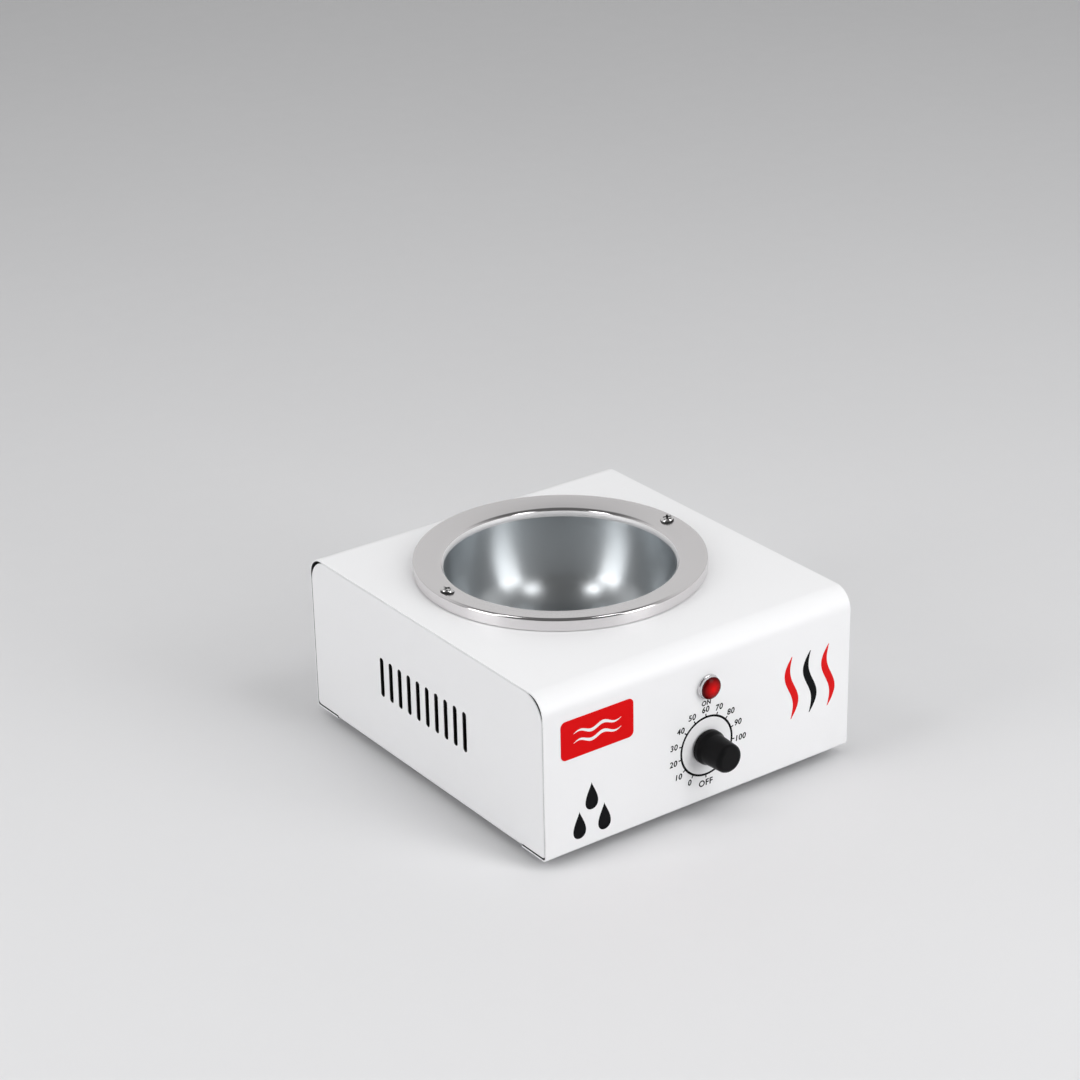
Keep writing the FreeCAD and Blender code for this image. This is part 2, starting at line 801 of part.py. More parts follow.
def thermostat_nut():
    """Nut on the bush, hidden in the knob's recess."""
    return hex_nut(bush_nut_flats, 0, bush_nut_height, bush_radius + screw_gap, dial_centre, OUT_FRONT)


def flatted_rod(radius, low, high, flat, flat_low):
    """Shaft along the dial's axis with a flat on its upper side from a given place outwards."""
    shaft = rod(radius, low, high, dial_centre, OUT_FRONT)
    cut_low = V(dial_offset_x - radius - overrun, front_y - high - overrun, dial_z + radius - flat)
    cut_high = V(dial_offset_x + radius + overrun, front_y - flat_low, dial_z + radius + overrun)
    return shaft.cut(box(cut_low, cut_high))


def thermostat_shaft():
    """Turning shaft of the thermostat."""
    return flatted_rod(shaft_radius, -shell_sheet - shaft_seat, shaft_reach, shaft_flat, knob_recess_end)


def knob():
    """Skirted knob with a recess over the nut, a flatted bore and a pointer groove."""
    corners = [(knob_recess_radius, knob_panel_gap), (knob_skirt_radius, knob_panel_gap),
               (knob_skirt_radius, knob_skirt_height), (knob_neck_radius, knob_neck_height),
               (knob_end_radius, knob_reach), (0, knob_reach), (0, knob_recess_end),
               (knob_recess_radius, knob_recess_end)]
    radii = [0, 0, knob_skirt_round, knob_neck_round, knob_end_round, 0, 0, 0]
    moulding = turned(corners, radii, dial_centre, OUT_FRONT)
    bore_start = knob_recess_end - overrun
    bore = flatted_rod(shaft_radius + shaft_gap, bore_start, knob_bore_end, shaft_flat, -overrun)
    half = pointer_width / 2
    groove_low = V(dial_offset_x - half, front_y - knob_reach - overrun, dial_z - knob_skirt_radius - overrun)
    groove_high = V(dial_offset_x + half, front_y - knob_skirt_height + pointer_depth,
                    dial_z - knob_end_radius + pointer_depth)
    return moulding.cut([bore, box(groove_low, groove_high)])


def tab_at(centre, width):
    """Flat blade that stands on a rear face and points backwards."""
    low = V(centre.x - tab_sheet / 2, centre.y, centre.z - width / 2)
    high = V(centre.x + tab_sheet / 2, centre.y + tab_length, centre.z + width / 2)
    return box(low, high)


def thermostat_tab_places():
    """Roots of the thermostat's two blades, on its rear face."""
    z = dial_z - thermostat_tab_drop
    return [V(dial_offset_x + side * thermostat_tab_spread / 2, thermostat_rear, z) for side in (-1, 1)]


def thermostat_tabs():
    """Terminal blades of the thermostat."""
    return Part.makeCompound([tab_at(place, tab_width) for place in thermostat_tab_places()])


def sensor_bulb():
    """Sensing bulb under the clamp plate."""
    corners = [(0, 0), (bulb_radius, 0), (bulb_radius, bulb_length), (0, bulb_length)]
    end_round = bulb_radius / 2
    return turned(corners, [0, end_round, end_round, 0], V(bulb_x, bulb_front, bulb_z), OUT_REAR)


def bulb_clip():
    """Saddle strap that holds the bulb to the clamp plate."""
    inner = clip_inner
    outer = clip_outer
    ear = outer + clip_ear
    low_inner = clamp_bottom - 2 * inner
    low_outer = low_inner - clip_sheet
    corners = [(-ear, clamp_bottom), (-ear, clamp_bottom - clip_sheet), (-outer, clamp_bottom - clip_sheet),
               (-outer, low_outer), (outer, low_outer), (outer, clamp_bottom - clip_sheet),
               (ear, clamp_bottom - clip_sheet), (ear, clamp_bottom), (inner, clamp_bottom),
               (inner, low_inner), (-inner, low_inner), (-inner, clamp_bottom)]
    bend = inner / 2
    radii = [0, 0, 0, bend + clip_sheet, bend + clip_sheet, 0, 0, 0, 0, bend, bend, 0]
    loop = rounded_loop(corners, radii, lambda p: V(bulb_x + p.x, bowl_y - clip_width / 2, p.y))
    return Part.Face(loop).extrude(V(0, clip_width, 0))


def capillary_tube():
    """Fine tube from the bulb to the thermostat."""
    jacket_front = bowl_y - jacket_radius
    start = V(bulb_x, bulb_front, bulb_z)
    first = V(bulb_x, jacket_front - capillary_lead / 2, bulb_z)
    outlet = V(dial_offset_x, thermostat_rear, dial_z + capillary_outlet_height)
    second = outlet + V(0, capillary_lead, 0)
    return bent_rod([start, first, second, outlet], capillary_radius, [capillary_bend, capillary_bend])


# Pilot lamp

def lamp_bezel():
    """Stepped bright bezel on the front panel."""
    bore = lens_radius + screw_gap
    corners = [(bore, 0), (bezel_radius, 0), (bezel_radius, bezel_foot_height),
               (bezel_step_radius, bezel_foot_height), (bezel_step_radius, bezel_height),
               (bore, bezel_height)]
    radii = [0, 0, bezel_round, 0, bezel_round, 0]
    return turned(corners, radii, lamp_centre, OUT_FRONT)


def lamp_lens():
    """Hollow domed lens."""
    cavity = lens_radius - lens_wall
    cavity_end = lens_reach - lens_wall
    corners = [(cavity, lens_seat), (lens_radius, lens_seat), (lens_radius, lens_reach), (0, lens_reach),
               (0, cavity_end), (cavity, cavity_end)]
    radii = [0, 0, lens_round, 0, 0, lens_round - lens_wall]
    return turned(corners, radii, lamp_centre, OUT_FRONT)


def lamp_holder():
    """Barrel of the lamp behind the panel."""
    return rod(holder_radius, -holder_depth, lens_seat, lamp_centre, OUT_FRONT)


def neon_bulb():
    """Small glass bulb inside the lens."""
    corners = [(0, lens_seat), (neon_radius, lens_seat), (neon_radius, lens_seat + neon_length),
               (0, lens_seat + neon_length)]
    return turned(corners, [0, 0, neon_radius / 2, 0], lamp_centre, OUT_FRONT)


def lamp_nut():
    """Nut that holds the lamp from behind the panel."""
    bore = holder_radius + screw_gap
    inside = -shell_sheet
    return hex_nut(lamp_nut_flats, inside - lamp_nut_height, inside, bore, lamp_centre, OUT_FRONT)


def lamp_tab_places():
    """Roots of the lamp's two blades, on the holder's rear face."""
    return [V(lamp_offset_x + side * lamp_tab_spread / 2, lamp_rear, lamp_z) for side in (-1, 1)]


def lamp_tabs():
    """Terminal blades of the lamp."""
    return Part.makeCompound([tab_at(place, lamp_tab_width) for place in lamp_tab_places()])


# Cord entry, terminals and wiring

def cord_gland():
    """Nylon gland through the back, its nose bored to grip the mains cord."""
    grip_start = gland_reach - gland_grip_length
    corners = [(gland_throat_radius, -gland_thread_length), (gland_thread_radius, -gland_thread_length),
               (gland_thread_radius, 0), (gland_flange_radius, 0), (gland_flange_radius, gland_flange_height),
               (gland_nose_radius, gland_flange_height), (gland_nose_radius, gland_reach),
               (gland_bore_radius, gland_reach), (gland_bore_radius, grip_start),
               (gland_throat_radius, grip_start)]
    radii = [0, 0, 0, 0, gland_round / 2, 0, gland_round, 0, 0, 0]
    return turned(corners, radii, gland_centre, OUT_REAR)


def gland_nut():
    """Nut inside the back panel."""
    bore = gland_thread_radius + screw_gap
    inside = -shell_sheet
    return hex_nut(gland_nut_flats, inside - gland_nut_height, inside, bore, gland_centre, OUT_REAR)


def well_places():
    """Two screw wells for each way of the terminal block."""
    places = []
    for way in range(way_count):
        for y in (block_front + well_inset, block_rear - well_inset):
            places.append(V(way_x(way), y, 0))
    return places


def terminal_block():
    """Moulded block on the base plate."""
    low_x = block_x - block_width / 2
    high_x = block_x + block_width / 2
    corners = [(low_x, block_front), (high_x, block_front), (high_x, block_rear), (low_x, block_rear)]
    loop = rounded_loop(corners, [block_edge_round] * 4, lambda p: V(p.x, p.y, shell_bottom))
    block = Part.Face(loop).extrude(UP * block_height)
    top = shell_bottom + block_height
    wells = [rod(well_radius, top - well_depth, top + overrun, place, UP) for place in well_places()]
    return block.cut(wells)


def terminal_screws():
    """Clamping screws in the wells of the block."""
    low = shell_bottom + block_height - well_depth
    return Part.makeCompound([rod(terminal_screw_radius, low, low + terminal_screw_length, place, UP)
                              for place in well_places()])


def earth_place():
    """Earth stud behind the terminal block."""
    return V(way_x(0), earth_y, 0)


def earth_stud():
    """Stud welded to the base plate."""
    return rod(screw_radius, shell_bottom, shell_bottom + earth_length, earth_place(), UP)


def earth_nut():
    """Nut on the earth stud."""
    top = shell_bottom + screw_nut_height
    return hex_nut(screw_nut_flats, shell_bottom, top, screw_radius + screw_gap, earth_place(), UP)


def earth_wire():
    """Short lead from the block to the earth nut."""
    start = V(way_x(0), block_rear, shell_bottom + screw_nut_height / 2)
    return rod(wire_radius, 0, earth_gap - screw_nut_flats / 2, start, OUT_REAR)


def live_wire():
    """Lead from the block to the thermostat."""
    root = thermostat_tab_places()[1]
    end = root + V(0, tab_length, 0)
    turn_y = end.y + wire_lead
    x = way_x(1)
    points = [V(x, block_front, way_z), V(x, turn_y, way_z), V(end.x, turn_y, way_z),
              V(end.x, turn_y, end.z), end]
    return bent_rod(points, wire_radius, [wire_bend, wire_bend, wire_lead_bend])


def neutral_wire():
    """Lead from the block to the heating element."""
    tab = element_tab_places()[1]
    x = way_x(0)
    points = [V(x, block_front, way_z), V(x, tab.y, way_z), V(tab.x, tab.y, way_z),
              V(tab.x, tab.y, element_bottom)]
    return bent_rod(points, wire_radius, [wire_bend, wire_bend])


def switched_wire():
    """Lead from the thermostat to the heating element."""
    tab = element_tab_places()[0]
    root = thermostat_tab_places()[0]
    start = root + V(0, tab_length, 0)
    turn = start + V(0, wire_lead, 0)
    points = [start, turn, V(turn.x, turn.y, way_z), V(tab.x, tab.y, way_z), V(tab.x, tab.y, element_bottom)]
    return bent_rod(points, wire_radius, [wire_lead_bend, wire_bend, wire_bend])


def lamp_wires():
    """Pair of leads from the lamp to the block, side by side down the right of the box."""
    wires = []
    for i, root in enumerate(reversed(lamp_tab_places())):
        start = root + V(0, tab_length, 0)
        turn_y = start.y + wire_lead / 2 + i * lamp_lead_step
        x = way_x(2 + i)
        points = [start, V(start.x, turn_y, start.z), V(x, turn_y, start.z),
                  V(x, turn_y, way_z), V(x, block_front, way_z)]
        wires.append(bent_rod(points, wire_radius, [wire_lead_bend, wire_bend, wire_bend]))
    return Part.makeCompound(wires)


pieces = {
    "outer_shell": outer_shell(),
    "left_side_panel": side_panel(-1),
    "right_side_panel": side_panel(1),
    "base_plate": base_plate(),
    "base_screws": base_screws(),
    "feet": feet(),
    "foot_screws": foot_screws(),
    "foot_nuts": foot_nuts(),
    "trim_ring": trim_ring(),
    "ring_screws": ring_screws(),
    "ring_nuts": ring_nuts(),
    "bowl_gasket": bowl_gasket(),
    "bowl": bowl(),
    "mica_upper": mica_plate(bowl_bottom),
    "heating_element": heating_element(),
    "mica_lower": mica_plate(element_bottom),
    "clamp_plate": clamp_plate(),
    "clamp_stud": clamp_stud(),
    "clamp_nuts": clamp_nuts(),
    "shield_spacer": shield_spacer(),
    "heat_shield": heat_shield(),
    "insulation_pad": insulation_pad(),
    "insulation_wrap": insulation_wrap(),
    "thermostat_body": thermostat_body(),
    "thermostat_nut": thermostat_nut(),
    "thermostat_shaft": thermostat_shaft(),
    "thermostat_tabs": thermostat_tabs(),
    "knob": knob(),
    "sensor_bulb": sensor_bulb(),
    "bulb_clip": bulb_clip(),
    "capillary_tube": capillary_tube(),
    "lamp_bezel": lamp_bezel(),
    "lamp_lens": lamp_lens(),
    "lamp_holder": lamp_holder(),
    "neon_bulb": neon_bulb(),
    "lamp_nut": lamp_nut(),
    "lamp_tabs": lamp_tabs(),
    "cord_gland": cord_gland(),
    "gland_nut": gland_nut(),
    "terminal_block": terminal_block(),
    "terminal_screws": terminal_screws(),
    "earth_stud": earth_stud(),
    "earth_nut": earth_nut(),
    "earth_wire": earth_wire(),
    "live_wire": live_wire(),
    "neutral_wire": neutral_wire(),
    "switched_wire": switched_wire(),
    "lamp_wires": lamp_wires(),
}

os.makedirs("parts", exist_ok=True)
for name, shape in pieces.items():
    shape.exportStep("parts/" + name + ".step")
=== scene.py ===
import math

import bmesh
import bpy
from mathutils import Matrix, Vector


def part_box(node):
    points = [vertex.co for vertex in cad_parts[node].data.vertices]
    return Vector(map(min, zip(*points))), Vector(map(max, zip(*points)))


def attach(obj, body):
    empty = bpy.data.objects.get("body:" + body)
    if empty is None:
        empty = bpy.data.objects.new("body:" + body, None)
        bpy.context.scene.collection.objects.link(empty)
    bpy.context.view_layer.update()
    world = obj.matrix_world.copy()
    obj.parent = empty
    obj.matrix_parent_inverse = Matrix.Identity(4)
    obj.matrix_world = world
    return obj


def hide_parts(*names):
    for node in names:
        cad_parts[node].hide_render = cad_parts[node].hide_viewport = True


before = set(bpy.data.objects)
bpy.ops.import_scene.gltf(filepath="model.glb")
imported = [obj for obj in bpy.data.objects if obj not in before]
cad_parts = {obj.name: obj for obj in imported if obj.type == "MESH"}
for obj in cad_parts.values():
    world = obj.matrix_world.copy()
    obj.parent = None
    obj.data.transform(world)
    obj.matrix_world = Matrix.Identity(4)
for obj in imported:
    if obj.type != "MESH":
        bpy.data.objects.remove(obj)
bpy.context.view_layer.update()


# Outer shell: front, top and back of the box are one steel sheet, bent four times so that two
# short returns close it below. Holes for the bowl, the lamp, the thermostat and the cord gland are
# punched first, and the outside is then powder coated in satin white; the inside is coloured near
# black as painted shade.
shell_low, shell_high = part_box("outer_shell")
shell_low = Vector(shell_low)
shell_high = Vector(shell_high)
front_y = shell_low.y
rear_y = shell_high.y
side_x = shell_high.x
middle_y = (front_y + rear_y) / 2
sheet = 0.001
front_bend = 0.013
rear_bend = 0.012
return_bend = 0.0025
return_length = 0.024
painted_edge = 0.0003
edge_segments = 3
bend_steps = 12
hole_steps = 64
bowl_low, bowl_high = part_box("bowl")
bowl_axis = (Vector(bowl_low) + Vector(bowl_high)) / 2
bowl_hole_radius = 0.0755
bowl_hole_steps = 160
dial_centre = Vector((0.0035, front_y, 0.0440))
bush_hole_radius = 0.0053
lamp_centre = Vector((0.0040, front_y, 0.0834))
lamp_hole_radius = 0.0060
gland_low, gland_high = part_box("cord_gland")
gland_centre = (Vector(gland_low) + Vector(gland_high)) / 2
gland_centre.y = rear_y
gland_hole_radius = 0.0063
overrun = 0.002
UP = Vector((0, 0, 1))
OUT_FRONT = Vector((0, -1, 0))
OUT_REAR = Vector((0, 1, 0))


def arc(corner, before, after, radius, steps):
    """Fine arc of flat points that rounds a corner by a radius."""
    back = (before - corner).normalized()
    on = (after - corner).normalized()
    half = back.angle(on) / 2
    middle = corner + (back + on).normalized() * (radius / math.sin(half))
    start = corner + back * (radius / math.tan(half)) - middle
    end = corner + on * (radius / math.tan(half)) - middle
    swing = start.angle(end)
    across = (end - start * math.cos(swing)) / math.sin(swing)
    count = max(2, round(steps * swing / (math.pi / 2)))
    turns = [swing * i / count for i in range(count + 1)]
    return [middle + start * math.cos(turn) + across * math.sin(turn) for turn in turns]


def rounded_outline(corners, radii, steps=bend_steps):
    """Closed flat outline through corners, each rounded by its radius."""
    flat = [Vector(corner) for corner in corners]
    outline = []
    for i, radius in enumerate(radii):
        if radius > 0:
            outline += arc(flat[i], flat[i - 1], flat[(i + 1) % len(flat)], radius, steps)
        else:
            outline.append(flat[i])
    return outline


def slab(outline, place, through):
    """Solid plate: a flat outline set in space by place and thickened along through."""
    plate = bmesh.new()
    near = [plate.verts.new(place(point)) for point in outline]
    far = [plate.verts.new(vert.co + through) for vert in near]
    plate.faces.new(near)
    plate.faces.new(far[::-1])
    for i in range(len(near)):
        plate.faces.new((near[i - 1], near[i], far[i], far[i - 1]))
    bmesh.ops.recalc_face_normals(plate, faces=plate.faces)
    return plate


def round_bar(radius, centre, axis, low, high, steps=hole_steps):
    """Plain round bar along an axis, used to punch holes."""
    side = axis.orthogonal().normalized()
    other = axis.cross(side)
    turns = [2 * math.pi * i / steps for i in range(steps)]
    circle = [Vector((radius * math.cos(turn), radius * math.sin(turn))) for turn in turns]
    start = centre + axis * low
    return slab(circle, lambda p: start + side * p.x + other * p.y, axis * (high - low))


def joined(parts):
    """Several solids as one, without changing any of them."""
    whole = bmesh.new()
    for part in parts:
        mesh = bpy.data.meshes.new("part")
        part.to_mesh(mesh)
        part.free()
        whole.from_mesh(mesh)
        bpy.data.meshes.remove(mesh)
    return whole


def worked(blank, tools, operation="DIFFERENCE"):
    """A blank with the tools cut out of it, or added to it."""
    holders = []
    for name, solid in (("blank", blank), ("tools", joined(tools))):
        mesh = bpy.data.meshes.new(name)
        solid.to_mesh(mesh)
        solid.free()
        holder = bpy.data.objects.new(name, mesh)
        bpy.context.scene.collection.objects.link(holder)
        holders.append(holder)
    step = holders[0].modifiers.new("step", "BOOLEAN")
    step.operation = operation
    step.solver = "EXACT"
    step.object = holders[1]
    result = bmesh.new()
    result.from_object(holders[0], bpy.context.evaluated_depsgraph_get())
    for holder in holders:
        mesh = holder.data
        bpy.data.objects.remove(holder)
        bpy.data.meshes.remove(mesh)
    return result


crisp_angle = math.radians(32)


def piece(name, solid, material, nodes=(), body="housing", eased=0, others=()):
    """Named piece from a solid: smooth with crisp or eased edges, dressed and riding on its body."""
    mesh = bpy.data.meshes.new(name)
    solid.to_mesh(mesh)
    solid.free()
    mesh.shade_smooth()
    for face_finish in (material, *others):
        mesh.materials.append(face_finish)
    item = bpy.data.objects.new(name, mesh)
    bpy.context.scene.collection.objects.link(item)
    if eased > 0:
        bevel = item.modifiers.new("eased edges", "BEVEL")
        bevel.width = eased
        bevel.segments = edge_segments
        bevel.limit_method = "ANGLE"
        bevel.angle_limit = crisp_angle
        bevel.harden_normals = True
        normals = item.modifiers.new("flat faces", "WEIGHTED_NORMAL")
        normals.keep_sharp = True
    else:
        mesh.set_sharp_from_angle(angle=crisp_angle)
    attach(item, body)
    if nodes:
        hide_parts(*nodes)
    return item


def shader_of(material):
    """The plain surface shader of a material."""
    return material.node_tree.nodes["Principled BSDF"]


def finish(name, colour, roughness, metallic=0.0, specular=0.5):
    """New material with one plain surface shader."""
    material = bpy.data.materials.new(name)
    material.use_nodes = True
    shader = shader_of(material)
    shader.inputs["Base Color"].default_value = (*colour, 1)
    shader.inputs["Roughness"].default_value = roughness
    shader.inputs["Metallic"].default_value = metallic
    shader.inputs["Specular IOR Level"].default_value = specular
    return material


def link(material, source, target):
    """Joins two sockets of a material, or of the room."""
    material.node_tree.links.new(source, target)


def grain(material, scale, detail=2.0, vector=None):
    """Noise over the piece, finer with a larger scale, as a value from 0 to 1."""
    nodes = material.node_tree.nodes
    noise = nodes.new("ShaderNodeTexNoise")
    noise.inputs["Scale"].default_value = scale
    noise.inputs["Detail"].default_value = detail
    if vector is None:
        vector = nodes.new("ShaderNodeTexCoord").outputs["Object"]
    link(material, vector, noise.inputs["Vector"])
    return noise.outputs["Fac"]


noise_low = 0.3
noise_high = 0.7


def vary(material, socket, source, low, high):
    """Lets a value of the shader follow a noise between two limits."""
    ramp = material.node_tree.nodes.new("ShaderNodeMapRange")
    ramp.inputs["From Min"].default_value = noise_low
    ramp.inputs["From Max"].default_value = noise_high
    ramp.inputs["To Min"].default_value = low
    ramp.inputs["To Max"].default_value = high
    link(material, source, ramp.inputs["Value"])
    link(material, ramp.outputs["Result"], shader_of(material).inputs[socket])


def tint(material, source, first, second):
    """Lets the colour drift between two tones with a noise."""
    mix = material.node_tree.nodes.new("ShaderNodeMix")
    mix.data_type = "RGBA"
    mix.inputs["A"].default_value = (*first, 1)
    mix.inputs["B"].default_value = (*second, 1)
    link(material, source, mix.inputs["Factor"])
    link(material, mix.outputs["Result"], shader_of(material).inputs["Base Color"])


def relief(material, source, height):
    """Adds fine relief to the surface, on top of any that it has."""
    bump = material.node_tree.nodes.new("ShaderNodeBump")
    bump.inputs["Distance"].default_value = height
    link(material, source, bump.inputs["Height"])
    normal = shader_of(material).inputs["Normal"]
    if normal.links:
        link(material, normal.links[0].from_socket, bump.inputs["Normal"])
    link(material, bump.outputs["Normal"], normal)


powder_coat = finish("white_powder_coat", (0.86, 0.86, 0.87), 0.34)
tint(powder_coat, grain(powder_coat, 9, 3), (0.845, 0.845, 0.855), (0.875, 0.875, 0.885))
vary(powder_coat, "Roughness", grain(powder_coat, 260, 3), 0.29, 0.38)
relief(powder_coat, grain(powder_coat, 14, 1), 0.0004)
relief(powder_coat, grain(powder_coat, 850, 1), 0.000012)
# Painted shade: a near-black finish for the insides, flanges and slot edges of shell and panels.
painted_shade_steel = finish("painted_shade_steel", (0.035, 0.035, 0.036), 0.7)
tint(painted_shade_steel, grain(painted_shade_steel, 60, 4), (0.028, 0.028, 0.028), (0.045, 0.045, 0.046))
relief(painted_shade_steel, grain(painted_shade_steel, 500, 3), 0.00002)


def folded_sheet(corners, bends, thickness, half_width):
    """Sheet folded along the X axis: corners of its outside as (y, z), with a bend radius at each."""
    flat = [Vector(corner) for corner in corners]
    outside = [flat[0]]
    inside = [flat[0] + inward(flat[0], flat[1]) * thickness]
    for i in range(1, len(flat) - 1):
        outside += arc(flat[i], flat[i - 1], flat[i + 1], bends[i], bend_steps)
        shift = inward(flat[i - 1], flat[i]) + inward(flat[i], flat[i + 1])
        inner = flat[i] + shift * thickness
        before = inner + flat[i - 1] - flat[i]
        after = inner + flat[i + 1] - flat[i]
        inside += arc(inner, before, after, bends[i] - thickness, bend_steps)
    outside.append(flat[-1])
    inside.append(flat[-1] + inward(flat[-2], flat[-1]) * thickness)
    blank = bmesh.new()
    ends = []
    for x in (-half_width, half_width):
        ends.append([[blank.verts.new((x, p.x, p.y)) for p in line] for line in (outside, inside)])
    (left_out, left_in), (right_out, right_in) = ends
    for i in range(len(outside) - 1):
        blank.faces.new((left_out[i], left_out[i + 1], right_out[i + 1], right_out[i]))
        blank.faces.new((left_in[i], left_in[i + 1], right_in[i + 1], right_in[i]))
        blank.faces.new((left_out[i], left_out[i + 1], left_in[i + 1], left_in[i]))
        blank.faces.new((right_out[i], right_out[i + 1], right_in[i + 1], right_in[i]))
    for i in (0, -1):
        blank.faces.new((left_out[i], left_in[i], right_in[i], right_out[i]))
    bmesh.ops.recalc_face_normals(blank, faces=blank.faces)
    return blank


def inward(start, end):
    """Unit direction to the right of a run, which is the inside of the fold."""
    run = (end - start).normalized()
    return Vector((run.y, -run.x))


shell_corners = [
    (front_y + return_length, shell_low.z), (front_y, shell_low.z), (front_y, shell_high.z),
    (rear_y, shell_high.z), (rear_y, shell_low.z), (rear_y - return_length, shell_low.z),
]
shell_bends = [0, return_bend, front_bend, rear_bend, return_bend, 0]
bowl_hole_middle = Vector((bowl_axis.x, bowl_axis.y, shell_high.z))
punches = [
    round_bar(bowl_hole_radius, bowl_hole_middle, UP, -overrun, overrun, bowl_hole_steps),
    round_bar(bush_hole_radius, dial_centre, OUT_FRONT, -overrun, overrun),
    round_bar(lamp_hole_radius, lamp_centre, OUT_FRONT, -overrun, overrun),
    round_bar(gland_hole_radius, gland_centre, OUT_REAR, -overrun, overrun),
]
shell_blank = folded_sheet(shell_corners, shell_bends, sheet, side_x)
shell = worked(shell_blank, punches)
shell_middle = (shell_low + shell_high) / 2
# Faces that face into the box take the near-black painted shade.
for face in shell.faces:
    inward_facing = face.normal.yz.dot((shell_middle - face.calc_center_median()).yz)
    if inward_facing > return_length:
        face.material_index = 1
piece("folded_shell", shell, powder_coat, ["outer_shell"], eased=painted_edge,
      others=[painted_shade_steel])


# Side panels: flanged steel pans let in flush between the shell's edges with a fine gap all round
# and screwed to the base from below. The face is coated like the shell, and its ten slots are
# punched after that; their edges, the flanges and the inside are coloured near black as painted
# shade.
panel_gap = 0.0003
panel_top_gap = 0.0001
panel_step_gap = 0.0009
panel_flange = 0.012
panel_bend = 0.0006
panel_foot_bend = 0.0025
panel_corner_ease = 0.0045
panel_corner_steps = 16
panel_bend_steps = 6
panel_edge = painted_edge * 0.7
slot_count = 10
slot_pitch = 0.00983
slot_width = 0.0040
slot_length = 0.0265
slot_row_height = 0.0517
slot_end_flat = painted_edge / 100
slot_end_steps = 8
slot_zone = slot_length * 0.51
across_sheet = 0.5
panel_front = front_y + sheet + panel_gap
panel_rear = rear_y - sheet - panel_gap
panel_top = shell_high.z - sheet - panel_top_gap
panel_step = shell_low.z + sheet + panel_step_gap
panel_front_round = front_bend - sheet + panel_corner_ease
panel_rear_round = rear_bend - sheet + panel_corner_ease


def panel_loop(inset):
    """Outline of a side panel as (y, z), drawn in by an inset."""
    low = panel_step + inset
    high = panel_top - inset
    front = panel_front + inset
    rear = panel_rear - inset
    corners = [(front, low), (rear, low), (rear, high), (front, high)]
    rounds = [return_bend, return_bend, panel_rear_round, panel_front_round]
    inset_rounds = [max(radius - inset, painted_edge) for radius in rounds]
    return rounded_outline(corners, inset_rounds, panel_corner_steps)


def pressed_pan(side):
    """Side panel's pan: a flat face turned over into a flange all round."""
    bend_turns = [math.pi / 2 * i / panel_bend_steps for i in range(panel_bend_steps + 1)]
    rings = [(panel_bend * (1 - math.sin(turn)), panel_bend * (1 - math.cos(turn))) for turn in bend_turns]
    rings += [(0, panel_flange), (sheet, panel_flange), (sheet, sheet + painted_edge),
              (sheet + painted_edge, sheet)]
    pan = bmesh.new()
    loops = []
    for inset, depth in rings:
        x = side * (side_x - depth)
        loops.append([pan.verts.new((x, p.x, p.y)) for p in panel_loop(inset)])
    for near, far in zip(loops, loops[1:]):
        for i in range(len(near)):
            pan.faces.new((near[i - 1], near[i], far[i], far[i - 1]))
    pan.faces.new(loops[0])
    pan.faces.new(loops[-1])
    bmesh.ops.recalc_face_normals(pan, faces=pan.faces)
    return pan


def panel_foot(side):
    """The pan's lower edge between the shell's returns, bent under to meet the base."""
    start = front_y + return_length + panel_gap
    end = rear_y - return_length - panel_gap
    low = shell_low.z
    leg_top = panel_step + panel_foot_bend
    section = [(0, leg_top), (0, low), (panel_flange, low), (panel_flange, low + sheet),
               (sheet, low + sheet), (sheet, leg_top)]
    rounds = [0, panel_foot_bend, 0, 0, panel_foot_bend - sheet, 0]
    return slab(rounded_outline(section, rounds), lambda p: Vector((side * (side_x - p.x), start, p.y)),
                Vector((0, end - start, 0)))


def round_slot(width, length, middle, along, through):
    """Round-ended punch, long one way, that passes through a sheet the other way."""
    side = along.cross(through).normalized()
    half_width = width / 2
    half = length / 2
    corners = [(-half, -half_width), (half, -half_width), (half, half_width), (-half, half_width)]
    outline = rounded_outline(corners, [half_width - slot_end_flat] * 4, slot_end_steps)
    start = middle - through / 2
    return slab(outline, lambda p: start + along * p.x + side * p.y, through)


for side, panel_node in ((-1, "left_side_panel"), (1, "right_side_panel")):
    slots = []
    for i in range(slot_count):
        slot_y = middle_y + (i - (slot_count - 1) / 2) * slot_pitch
        slot_middle = Vector((side * side_x, slot_y, shell_low.z + slot_row_height))
        slots.append(round_slot(slot_width, slot_length, slot_middle, UP, Vector((2 * overrun, 0, 0))))
    panel = worked(worked(pressed_pan(side), [panel_foot(side)], "UNION"), slots)
    # Slot edges, flanges and the inside take the near-black painted shade.
    for face in panel.faces:
        middle = face.calc_center_median()
        in_slot = abs(middle.z - slot_middle.z) < slot_zone and abs(face.normal.x) < across_sheet
        if middle.z > panel_step and (in_slot or abs(middle.x) < side_x - panel_bend):
            face.material_index = 1
    piece("pressed_" + panel_node, panel, powder_coat, [panel_node],
          eased=panel_edge, others=[painted_shade_steel])


# Cord gland: moulded black nylon, pushed through the back and held by a hexagon nut inside. Its
# nose has shallow grip flutes and a round mouth for the mains cord.
gland_reach = gland_high[1] - rear_y
gland_back = rear_y - gland_low[1]
gland_flange_radius = (gland_high[0] - gland_low[0]) / 2
gland_flange_height = 0.0025
gland_nose_radius = 0.0074
gland_bore_radius = 0.0036
gland_throat_radius = 0.0042
gland_thread_radius = 0.0060
gland_grip_length = 0.0070
gland_mouth_round = 0.0012
gland_round = 0.0012
flute_count = 18
flute_radius = 0.0007
flute_middle_radius = gland_nose_radius + flute_radius / 3
flute_steps = 16
turning_steps = 96


